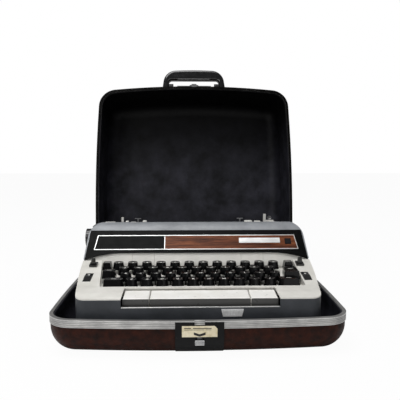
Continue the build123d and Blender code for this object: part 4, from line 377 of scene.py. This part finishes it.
def make_materials(colours):
    """Every finish of the case and the machine, named for what it is."""
    m = MATERIALS
    # Embossed vinyl over a moulded case shell: a dark brown with a soft leather grain
    m["vinyl"] = moulded("embossed brown vinyl", "#140603", colours.case_skin, (0.40, 0.60), 1.1, 0.16,
                         mottle_mm=9.0, pebbles=True, specular=0.14)
    # Anodised aluminium extrusion: satin, with long fine lines and dull patches from handling, and painted shade in
    # dark bands along its grooves
    m["band"] = drawn_metal("anodised aluminium band", "#a8a7a6", colours.band, (0.26, 0.42), "X",
                            line_mm=0.6, line_height_mm=0.03, metallic=0.4, painted_groove_shade_mm=2.0)
    # The lid's edge strip: aluminium, with painted shade darkening its side that faces out of the open lid's mouth
    m["edge"] = drawn_metal("aluminium edge strip with painted shade", "#8a8886", "#c4c2bf", (0.40, 0.56), "X", line_mm=0.8,
                            painted_shade_side=LID_MOUTH_PAINTED_SHADE)
    # Vacuum formed ABS lining: nearly black with a fine leather grain that softens the light; painted shade fades it
    # to black towards the top of the open lid
    m["lining"] = moulded("black grained ABS lining with painted shade", "#0e0e12", colours.lining, (0.46, 0.60), 0.9, 0.05,
                          mottle_mm=30.0, specular=0.16, painted_shade_heights_mm=LINING_PAINTED_SHADE)
    # Stoved enamel on pressed steel: satin black with small dull spots
    m["lock"] = moulded("black stoved enamel", "#040405", "#0c0c0e", (0.26, 0.40), 0.7, 0.01, mottle_mm=6.0,
                        specular=0.18)
    # Printed paper label: cream, slightly soiled and rubbed
    m["label"] = moulded("cream paper label", "#d3c59f", colours.label, (0.60, 0.75), 0.35, 0.02, mottle_mm=5.0)
    # Printing ink on that label, and the white legends of the keys and rockers
    m["ink"] = moulded("black printing ink", "#0c0b0b", "#1e1b19", (0.50, 0.60), 0.4, 0.01, mottle_mm=3.0)
    m["legend"] = moulded("white moulded legend", "#e4e2dc", "#f7f6f2", (0.40, 0.55), 0.4, 0.01, mottle_mm=4.0)
    # Ground steel and bright chrome plated parts
    m["steel"] = drawn_metal("ground steel", "#77777a", "#b4b4b4", (0.26, 0.42), "X", line_mm=0.7)
    m["bright"] = drawn_metal("bright chrome plate", "#b4b4b6", "#e6e6e6", (0.14, 0.24), "X", line_mm=1.5,
                              line_height_mm=0.005)
    # Brushed trim round the name panel, and the badge pressed from the same sheet
    m["trim"] = drawn_metal("brushed silver trim", "#bdbdbc", "#ececea", (0.28, 0.40), "X", line_mm=0.9,
                            line_height_mm=0.01, metallic=0.6)
    m["badge"] = drawn_metal("satin silver badge", "#d2d2d1", "#ffffff", (0.36, 0.50), "Z", line_mm=0.8,
                             line_height_mm=0.01, metallic=0.15)
    # Polished black ABS: handle, knobs, paddles
    m["gloss black"] = moulded("polished black ABS", "#060607", "#0d0d0f", (0.12, 0.22), 0.8, 0.002,
                               mottle_mm=12.0, specular=0.6, coat=0.4)
    # Satin black paint of the name panel
    m["panel"] = moulded("black painted panel", "#030303", "#070707", (0.34, 0.44), 0.5, 0.005, mottle_mm=10.0,
                         specular=0.06)
    # Textured paint on the pressed steel body and the cover
    m["body"] = moulded("slate textured paint", "#34373b", colours.body, (0.42, 0.56), 0.7, 0.035, mottle_mm=25.0,
                        pebbles=True, specular=0.35)
    m["cover"] = moulded("grey textured paint", "#7b7e82", colours.cover, (0.34, 0.48), 0.7, 0.030,
                         mottle_mm=25.0, pebbles=True)
    m["deck"] = moulded("off-white pebbled paint", "#d6d4cd", colours.deck, (0.38, 0.52), 0.9, 0.05,
                        mottle_mm=28.0, pebbles=True)
    # Double shot ABS keys: satin black with a dished top polished by use
    m["key"] = moulded("black moulded key", "#040405", "#0a0a0b", (0.12, 0.20), 0.6, 0.003, mottle_mm=5.0,
                       specular=0.28)
    # Off-white space set: painted shade darkens the fronts of the keys
    m["space"] = moulded("off-white moulded key with painted front shade", "#f0eee8", "#fbfaf7", (0.26, 0.40), 0.6, 0.010, mottle_mm=20.0,
                         painted_shade_side=FRONT_PAINTED_SHADE)
    m["rubber"] = moulded("black rubber", "#0a0a0b", "#161617", (0.50, 0.68), 0.5, 0.03, mottle_mm=8.0,
                          specular=0.35)
    m["wood"] = printed_wood("printed wood grain insert", "#2b140a", "#6d3c23", "#9f623d")
    m["white"] = moulded("white moulded lever", "#dddbd5", "#f3f2ee", (0.28, 0.42), 0.5, 0.01, mottle_mm=4.0)
    m["window"] = moulded("smoked window", "#0b0a0c", "#1c1719", (0.06, 0.14), 1.0, 0.002, mottle_mm=6.0,
                          coat=0.5)
    m["motor"] = moulded("cast motor housing", "#3c3f43", "#5a5e63", (0.45, 0.62), 1.2, 0.08, mottle_mm=9.0)
    m["spool"] = moulded("black spool plastic", "#101012", "#202024", (0.35, 0.50), 0.6, 0.015, mottle_mm=6.0)


def dress(names, material_key):
    """Gives CAD nodes one finish."""
    for name in names:
        node = NODES[name]
        if not node.material_slots:
            node.data.materials.append(MATERIALS[material_key])
        for slot in node.material_slots:
            slot.material = MATERIALS[material_key]


# What a user would change


class TypewriterColours(bpy.types.PropertyGroup):
    case_skin: bpy.props.StringProperty(
        name="Case covering", description="Light tone of the vinyl", default="#381508")
    band: bpy.props.StringProperty(
        name="Case band", description="Light tone of the aluminium", default="#e6e5e2")
    lining: bpy.props.StringProperty(
        name="Lining", description="Light tone of the lining", default="#33333b")
    label: bpy.props.StringProperty(
        name="Label", description="Light tone of the label", default="#f2e8cd")
    body: bpy.props.StringProperty(
        name="Lower body", description="Light tone of the body paint", default="#43464b")
    cover: bpy.props.StringProperty(
        name="Top cover", description="Light tone of the cover paint", default="#96999d")
    deck: bpy.props.StringProperty(
        name="Key deck", description="Light tone of the deck paint", default="#e9e7e1")


class TypewriterSizes(bpy.types.PropertyGroup):
    legend_height: bpy.props.FloatProperty(
        name="Legend height", description="Height of a key's letter", default=0.0048, unit="LENGTH", min=0.001)
    legend_rise: bpy.props.FloatProperty(
        name="Legend rise", description="How far a legend stands on its key", default=0.00008, unit="LENGTH")
    rivet_radius: bpy.props.FloatProperty(
        name="Rivet radius", description="Radius of the small rivets", default=0.0018, unit="LENGTH", min=0.0005)
    key_light: bpy.props.FloatProperty(
        name="Key light", description="Power of the large lamp over the front", default=20.0, unit="POWER")
    fill_light: bpy.props.FloatProperty(
        name="Fill light", description="Power of the low lamp by the camera", default=2.0, unit="POWER")


# Case


class TYPEWRITER_OT_case_finish(bpy.types.Operator):
    """Dress the case shells, bands, lining, lock plate, hinges and handle"""
    bl_idname = "typewriter.case_finish"
    bl_label = "Case finish"

    def execute(self, context):
        dress(("case_base_shell", "case_lid_shell"), "vinyl")
        dress(("case_base_rim",), "band")
        dress(("case_lid_rim",), "edge")
        dress(("case_base_liner", "case_lid_liner"), "lining")
        dress(("lock_plate", "handle_brackets"), "lock")
        dress(("lock_plate_label",), "label")
        dress(("hinge_base_leaves", "hinge_lid_leaves"), "steel")
        dress(("latch_plate", "latch_slide", "release_tab"), "bright")
        dress(("case_handle",), "gloss black")
        return {"FINISHED"}


# Print on the label, in mm: how far it starts inside and stands out, and the arrow's half width and heights
PRINT_ROOT = 0.06
PRINT_RISE = 0.1
ARROW_HALF_WIDTH = 6.5
ARROW_HEIGHTS = (-3.6, -0.8)
ARROW_DROP = 2.2
# Plain rules, in mm: left end, right end, height over the label's middle, half thickness
LABEL_RULES = ((-17.0, -9.5, 3.6, 0.45), (-7.5, 13.0, 3.6, 0.45), (-17.0, 5.0, 1.9, 0.25), (6.5, 13.0, 1.9, 0.25))


def printed_bar(name, left, right, low_z, high_z, face_y):
    """A bar of print on a face that looks to the front."""
    return start_cube(name, (left, face_y - PRINT_ROOT, low_z), (right, face_y + PRINT_RISE, high_z))


class TYPEWRITER_OT_label_arrow(bpy.types.Operator):
    """Print the arrow and the rules on the cream label"""
    bl_idname = "typewriter.label_arrow"
    bl_label = "Label arrow"

    def execute(self, context):
        low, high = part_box("lock_plate_label")
        face = low[1] * 1000
        middle_z = (low[2] + high[2]) * 500
        arrow = printed_bar("arrow", -ARROW_HALF_WIDTH, ARROW_HALF_WIDTH, middle_z + ARROW_HEIGHTS[0],
                            middle_z + ARROW_HEIGHTS[1], face)
        pick(arrow, "EDGE", lambda edge: spans_x(edge, ARROW_HALF_WIDTH))
        bpy.ops.mesh.subdivide(number_cuts=1)
        mesh = bmesh.from_edit_mesh(arrow.data)
        for vertex in mesh.verts:
            vertex.select_set(abs(vertex.co.x) < 0.0005)
        bmesh.update_edit_mesh(arrow.data)
        bpy.ops.transform.translate(value=mm(0, 0, -ARROW_DROP))
        leave_edit()
        rules = [printed_bar("rule", left, right, middle_z + offset - half, middle_z + offset + half, face)
                 for left, right, offset, half in LABEL_RULES]
        mark = join([arrow] + rules, "label_arrow_print")
        round_edges(mark, 0.03, 1)
        finish(mark, MATERIALS["ink"], "case_base")
        return {"FINISHED"}


# Height of a rivet head over its radius, and the share of its radius that it lies in the surface
RIVET_FLATNESS = 0.55
RIVET_SUNK = 0.2
# Latch rivets, in mm
LATCH_RIVET_X = 18.5
LATCH_RIVET_Z = 350.0


def rivet(name, centre, normal, radius):
    """A low domed rivet head on a surface, in metres."""
    deselect()
    turn = normal.to_track_quat("Z", "Y").to_euler()
    bpy.ops.mesh.primitive_uv_sphere_add(segments=20, ring_count=10, radius=radius, location=centre, rotation=turn,
                                         scale=(1, 1, RIVET_FLATNESS))
    head = settle(bpy.context.object, name)
    bpy.ops.object.shade_smooth()
    return head


class TYPEWRITER_OT_case_rivets(bpy.types.Operator):
    """Set the two rivets that hold the latch slide on its plate"""
    bl_idname = "typewriter.case_rivets"
    bl_label = "Latch rivets"

    def execute(self, context):
        radius = context.scene.typewriter_sizes.rivet_radius
        heads = []
        for x in (-LATCH_RIVET_X, LATCH_RIVET_X):
            place, normal = front_point("latch_plate", x, LATCH_RIVET_Z)
            heads.append(rivet("head", place - normal * radius * RIVET_SUNK, normal, radius))
        finish(join(heads, "latch_plate_rivets"), MATERIALS["bright"], "case_lid")
        return {"FINISHED"}


# Machine


class TYPEWRITER_OT_machine_finish(bpy.types.Operator):
    """Dress the body, the deck, the cover, the frame and the drive"""
    bl_idname = "typewriter.machine_finish"
    bl_label = "Machine finish"

    def execute(self, context):
        dress(("machine_base_pan",), "body")
        dress(("ribbon_cover", "rear_housing"), "cover")
        dress(("keyboard_deck",), "deck")
        dress(("nameplate_panel",), "panel")
        dress(("nameplate_trim",), "trim")
        dress(("front_badge",), "badge")
        dress(("woodgrain_insert",), "wood")
        dress(("pilot_window",), "window")
        dress(("chassis_frame", "type_basket", "motor_pulley", "paper_table", "paper_bail"), "steel")
        dress(("carriage_frame",), "lock")
        dress(("drive_belt", "machine_feet", "platen_roller", "power_roll"), "rubber")
        dress(("drive_motor",), "motor")
        dress(("left_ribbon_spool", "right_ribbon_spool"), "spool")
        dress(("power_inlet", "power_switch", "touch_switch", "ribbon_selector", "stencil_selector"), "gloss black")
        dress(("platen_knobs",), "gloss black")
        dress(("paper_release_lever", "line_space_selector"), "white")
        return {"FINISHED"}


class TYPEWRITER_OT_key_finish(bpy.types.Operator):
    """Dress the keys, the space set and the tab buttons"""
    bl_idname = "typewriter.key_finish"
    bl_label = "Key finish"

    def execute(self, context):
        dress(("number_row_keys", "upper_row_keys", "home_row_keys", "lower_row_keys", "backspace_key",
               "margin_release_key", "return_key", "left_shift_key", "right_shift_key", "shift_lock_key"), "key")
        dress(("space_bar", "half_space_button", "power_space_button"), "space")
        dress(("left_tab_button", "right_tab_button"), "deck")
        return {"FINISHED"}


KEY_PITCH = 19.05
# Each key row's y and its first key's x, in mm, and its letters from left to right
KEY_ROWS = {
    "number_row_keys": (-26.8, -106.0, "234567890-=½"),
    "upper_row_keys": (-46.56, -96.4, "QWERTYUIOP!"),
    "home_row_keys": (-66.32, -91.7, "ASDFGHJKL;'"),
    "lower_row_keys": (-86.08, -82.3, "ZXCVBNM,./"),
}


# Over a letter's height: its font size and the growth of its strokes. Over its rise: the lift of its middle
LETTER_SIZE = 1.4
LETTER_WEIGHT = 0.025
LETTER_LIFT = 0.6


def key_letter(text, node_name, x, y, height, rise):
    """A letter that lies on a key's top at x, y in mm."""
    place, normal = surface_point(node_name, x, y)
    deselect()
    bpy.ops.object.text_add(location=(0, 0, 0))
    letter = bpy.context.object
    letter.data.body = text
    letter.data.size = height * LETTER_SIZE
    letter.data.align_x = "CENTER"
    letter.data.align_y = "CENTER"
    letter.data.resolution_u = 2
    letter.data.extrude = rise
    letter.data.offset = height * LETTER_WEIGHT
    only(letter)
    bpy.ops.object.convert(target="MESH")
    turn = Vector((0, 0, 1)).rotation_difference(normal).to_matrix().to_4x4()
    letter.matrix_world = Matrix.Translation(place + normal * rise * LETTER_LIFT) @ turn
    return settle(letter, "letter")


class TYPEWRITER_OT_key_legends(bpy.types.Operator):
    """Print plain letters and figures on the four key rows"""
    bl_idname = "typewriter.key_legends"
    bl_label = "Key legends"

    def execute(self, context):
        sizes = context.scene.typewriter_sizes
        for node_name, (y, first_x, letters) in KEY_ROWS.items():
            marks = [key_letter(letter, node_name, first_x + KEY_PITCH * i, y, sizes.legend_height, sizes.legend_rise)
                     for i, letter in enumerate(letters)]
            row = join(marks, node_name.replace("_keys", "_legends"))
            finish(row, MATERIALS["legend"], node_name)
        return {"FINISHED"}


# Where each function key has its bar, and the bar's half length, half width, root and rise, in mm
FUNCTION_MARKS = {
    "margin_release_key": (-121.2, -26.8),
    "backspace_key": (124.1, -26.8),
    "return_key": (121.0, -56.4),
    "shift_lock_key": (-114.2, -56.4),
    "left_shift_key": (-104.0, -86.1),
    "right_shift_key": (112.5, -86.1),
}
MARK_HALF_LENGTH = 3.2
MARK_HALF_WIDTH = 0.45
MARK_ROOT = 0.1
MARK_RISE = 0.07


class TYPEWRITER_OT_function_marks(bpy.types.Operator):
    """Print short plain bars on the function keys"""
    bl_idname = "typewriter.function_marks"
    bl_label = "Function key marks"

    def execute(self, context):
        for node_name, (x, y) in FUNCTION_MARKS.items():
            place, _ = surface_point(node_name, x, y)
            top = place.z * 1000
            mark = start_cube(node_name + "_mark", (x - MARK_HALF_LENGTH, y - MARK_HALF_WIDTH, top - MARK_ROOT),
                              (x + MARK_HALF_LENGTH, y + MARK_HALF_WIDTH, top + MARK_RISE))
            round_edges(mark, 0.05, 1)
            finish(mark, MATERIALS["legend"], node_name)
        return {"FINISHED"}


# The x of each rocker and the y of its dot, in mm
ROCKERS = {"touch_switch": -138.6, "power_switch": 138.6}
DOT_Y = -64.0
DOT_RADIUS = 1.3
DOT_THICKNESS = 0.2


class TYPEWRITER_OT_switch_marks(bpy.types.Operator):
    """Print a white dot on each rocker switch"""
    bl_idname = "typewriter.switch_marks"
    bl_label = "Switch marks"

    def execute(self, context):
        for node_name, x in ROCKERS.items():
            place, normal = surface_point(node_name, x, DOT_Y)
            turn = normal.to_track_quat("Z", "Y").to_euler()
            dot = start_cylinder(node_name + "_dot", place * 1000, DOT_RADIUS, DOT_THICKNESS, 24, turn)
            round_edges(dot, 0.05, 1)
            finish(dot, MATERIALS["legend"], node_name)
        return {"FINISHED"}


# Opposite corners of the lip in mm
LIP_CORNERS = ((-88.4, -138.1, 52.9), (92.1, -135.8, 53.9))


class TYPEWRITER_OT_front_lip(bpy.types.Operator):
    """Roll the thin bright lip along the notch under the space bar"""
    bl_idname = "typewriter.front_lip"
    bl_label = "Front lip"

    def execute(self, context):
        lip = start_cube("front_lip", *LIP_CORNERS)
        round_edges(lip, 0.35, 3)
        finish(lip, MATERIALS["trim"], "machine")
        return {"FINISHED"}


# Carriage


# White blocks on the lever bar, in mm: left end, right end and top; then their front, back and underside
STOPS = ((75.5, 87.5, 123.6), (91.0, 100.5, 123.0), (-108.0, -103.5, 123.6), (-101.0, -92.0, 121.8),
         (-82.0, -76.0, 124.0), (-140.0, -124.0, 122.0))
STOP_FRONT = 67.2
STOP_BACK = 72.6
STOP_FOOT = 115.4


class TYPEWRITER_OT_margin_stops(bpy.types.Operator):
    """Set the two white margin stops and the scale blocks on the lever bar"""
    bl_idname = "typewriter.margin_stops"
    bl_label = "Margin stops"

    def execute(self, context):
        blocks = []
        for left, right, top in STOPS:
            block = start_cube("stop", (left, STOP_FRONT, STOP_FOOT), (right, STOP_BACK, top))
            pick(block, "FACE", lambda face: face.normal.z > 0.9)
            bpy.ops.mesh.inset(thickness=0.0008, depth=0.0)
            bpy.ops.transform.translate(value=mm(0, 0, 0.6))
            leave_edit()
            round_edges(block, 0.5, 2)
            blocks.append(block)
        finish(join(blocks, "margin_stops"), MATERIALS["white"], "carriage")
        return {"FINISHED"}


# Place in mm of the knob by the paper release, the middle of its post and the corners of its foot
KNOB_CENTRE = (115.6, 75.2, 127.4)
KNOB_POST = (115.6, 75.2, 121.2)
KNOB_FOOT = ((112.0, 72.9, 115.2), (119.0, 77.5, 117.6))


class TYPEWRITER_OT_release_knob(bpy.types.Operator):
    """Add the small turned knob by the paper release"""
    bl_idname = "typewriter.release_knob"
    bl_label = "Release knob"

    def execute(self, context):
        knob = start_cylinder("release_knob", KNOB_CENTRE, 3.0, 3.4, 28, turn=(math.pi / 2, 0, 0))
        pick(knob, "FACE", lambda face: abs(face.normal.y) > 0.9)
        bpy.ops.mesh.inset(thickness=0.0009, depth=0.0)
        bpy.ops.mesh.inset(thickness=0.0003, depth=-0.0005)
        leave_edit()
        round_edges(knob, 0.3, 2)
        post = start_cylinder("post", KNOB_POST, 1.3, 8.0, 20)
        round_edges(post, 0.2, 1)
        foot = start_cube("foot", *KNOB_FOOT)
        round_edges(foot, 0.4, 2)
        finish(join([knob, post, foot], "release_knob"), MATERIALS["steel"], "carriage")
        return {"FINISHED"}


# The guide, in mm: its ends, its other two measures and how far its right end curves down
GUIDE_LEFT = 112.5
GUIDE_RIGHT = 136.0
GUIDE_Y = (66.2, 67.6)
GUIDE_Z = (118.6, 123.4)
GUIDE_DROP = 4.2


class TYPEWRITER_OT_paper_guide(bpy.types.Operator):
    """Add the white curved guide at the right end of the lever bar"""
    bl_idname = "typewriter.paper_guide"
    bl_label = "Paper guide"

    def execute(self, context):
        guide = start_cube("paper_guide", (GUIDE_LEFT, GUIDE_Y[0], GUIDE_Z[0]), (GUIDE_RIGHT, GUIDE_Y[1], GUIDE_Z[1]))
        pick(guide, "EDGE", lambda edge: spans_x(edge, 10.0))
        bpy.ops.mesh.subdivide(number_cuts=6)
        mesh = bmesh.from_edit_mesh(guide.data)
        for vertex in mesh.verts:
            share = (vertex.co.x * 1000 - GUIDE_LEFT) / (GUIDE_RIGHT - GUIDE_LEFT)
            vertex.co.z -= GUIDE_DROP / 1000 * share * share
        bmesh.update_edit_mesh(guide.data)
        leave_edit()
        round_edges(guide, 0.4, 2)
        finish(guide, MATERIALS["white"], "carriage")
        return {"FINISHED"}


# Stage


def lamp(name, place, aim, power, size):
    """A square area lamp that faces a point, in metres."""
    data = bpy.data.lights.new(name, "AREA")
    data.energy = power
    data.shape = "SQUARE"
    data.size = size
    light = bpy.data.objects.new(name, data)
    bpy.context.collection.objects.link(light)
    light.location = place
    light.rotation_euler = (Vector(aim) - Vector(place)).to_track_quat("-Z", "Y").to_euler()
    return light


# The share of glow that the camera alone sees in the floor, and the strength of the world's light
FLOOR_GLOW = 0.96
ROOM_LIGHT = 0.16
# The fitted camera: focal length and picture width in pixels, sensor and place in mm, and its angles in degrees,
# down from level and about the vertical
FOCAL_PIXELS = 475.4
PHOTO_PIXELS = 400.0
SENSOR_WIDTH = 36.0
CAMERA_PLACE = (-13.7, -662.3, 224.2)
CAMERA_DOWN = 5.31
CAMERA_TURN = -1.59


class TYPEWRITER_OT_stage(bpy.types.Operator):
    """Set the floor, the lamps, the world and the camera"""
    bl_idname = "typewriter.stage"
    bl_label = "Stage"

    def execute(self, context):
        sizes = context.scene.typewriter_sizes
        deselect()
        bpy.ops.mesh.primitive_plane_add(size=9, location=(0, 1.0, -0.0003))
        floor = settle(bpy.context.object, "floor")
        material, tree, shader, place = new_material("pale paper floor")
        tone = add_node(tree, "ShaderNodeTexNoise", {"Scale": per_metre(300.0), "Detail": 3.0}, {"Vector": place})
        colour = spread(tree, tone.outputs["Fac"], grey(0.86), grey(0.90))
        tree.links.new(colour, shader.inputs["Base Color"])
        shader.inputs["Roughness"].default_value = 0.9
        path = add_node(tree, "ShaderNodeLightPath")
        glow = add_node(tree, "ShaderNodeEmission", {"Color": grey(1.0), "Strength": 1.0})
        seen = add_node(tree, "ShaderNodeMath", {"operation": "MULTIPLY", 1: FLOOR_GLOW},
                        {0: path.outputs["Is Camera Ray"]})
        mixed = add_node(tree, "ShaderNodeMixShader", links={
            0: seen.outputs["Value"], 1: shader.outputs["BSDF"], 2: glow.outputs["Emission"]})
        output = next(node for node in tree.nodes if node.type == "OUTPUT_MATERIAL")
        tree.links.new(mixed.outputs["Shader"], output.inputs["Surface"])
        floor.data.materials.append(material)

        lamp("softbox overhead", (-0.30, -0.28, 1.60), (0, -0.02, 0.05), sizes.key_light, 1.1)
        lamp("low fill by the camera", (0.7, -1.6, 0.55), (0, 0, 0.15), sizes.fill_light, 1.0)
        lamp("lid wash", (-0.55, -0.75, 0.50), (0.0, 0.27, 0.13), 2.0, 0.4)

        world = bpy.data.worlds.new("pale studio")
        context.scene.world = world
        world.use_nodes = True
        tree = world.node_tree
        tree.nodes.clear()
        path = add_node(tree, "ShaderNodeLightPath")
        room = add_node(tree, "ShaderNodeBackground", {"Color": grey(1.0), "Strength": ROOM_LIGHT})
        seen = add_node(tree, "ShaderNodeBackground", {"Color": grey(1.0), "Strength": 1.0})
        mixed = add_node(tree, "ShaderNodeMixShader", links={
            0: path.outputs["Is Camera Ray"], 1: room.outputs["Background"], 2: seen.outputs["Background"]})
        add_node(tree, "ShaderNodeOutputWorld", links={"Surface": mixed.outputs["Shader"]})

        view = bpy.data.cameras.new("photo view")
        view.sensor_width = SENSOR_WIDTH
        view.lens = FOCAL_PIXELS / PHOTO_PIXELS * SENSOR_WIDTH
        camera = bpy.data.objects.new("photo view", view)
        context.collection.objects.link(camera)
        camera.location = mm(*CAMERA_PLACE)
        camera.rotation_euler = (math.radians(90 - CAMERA_DOWN), 0, math.radians(CAMERA_TURN))
        context.scene.camera = camera
        context.scene.view_settings.view_transform = "Standard"
        return {"FINISHED"}


class TYPEWRITER_PT_panel(bpy.types.Panel):
    """Lists the steps in the 3D view's sidebar"""
    bl_idname = "TYPEWRITER_PT_panel"
    bl_label = "Portable typewriter"
    bl_space_type = "VIEW_3D"
    bl_region_type = "UI"
    bl_category = "Typewriter"

    def draw(self, context):
        for step in STEPS:
            self.layout.operator(step.bl_idname)
        for group in (context.scene.typewriter_colours, context.scene.typewriter_sizes):
            box = self.layout.box()
            for key in group.__annotations__:
                box.prop(group, key)


STEPS = (
    TYPEWRITER_OT_case_finish,
    TYPEWRITER_OT_label_arrow,
    TYPEWRITER_OT_case_rivets,
    TYPEWRITER_OT_machine_finish,
    TYPEWRITER_OT_key_finish,
    TYPEWRITER_OT_key_legends,
    TYPEWRITER_OT_function_marks,
    TYPEWRITER_OT_switch_marks,
    TYPEWRITER_OT_front_lip,
    TYPEWRITER_OT_margin_stops,
    TYPEWRITER_OT_release_knob,
    TYPEWRITER_OT_paper_guide,
    TYPEWRITER_OT_stage,
)
CLASSES = (TypewriterColours, TypewriterSizes) + STEPS + (TYPEWRITER_PT_panel,)


def register():
    for item in CLASSES:
        bpy.utils.register_class(item)
    bpy.types.Scene.typewriter_colours = bpy.props.PointerProperty(type=TypewriterColours)
    bpy.types.Scene.typewriter_sizes = bpy.props.PointerProperty(type=TypewriterSizes)


def unregister():
    del bpy.types.Scene.typewriter_sizes
    del bpy.types.Scene.typewriter_colours
    for item in reversed(CLASSES):
        bpy.utils.unregister_class(item)


def main():
    """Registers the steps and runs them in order."""
    register()
    make_materials(bpy.context.scene.typewriter_colours)
    for step in STEPS:
        family, name = step.bl_idname.split(".")
        result = getattr(getattr(bpy.ops, family), name)()
        if result != {"FINISHED"}:
            raise RuntimeError(step.bl_idname)


if __name__ == "__main__":
    main()
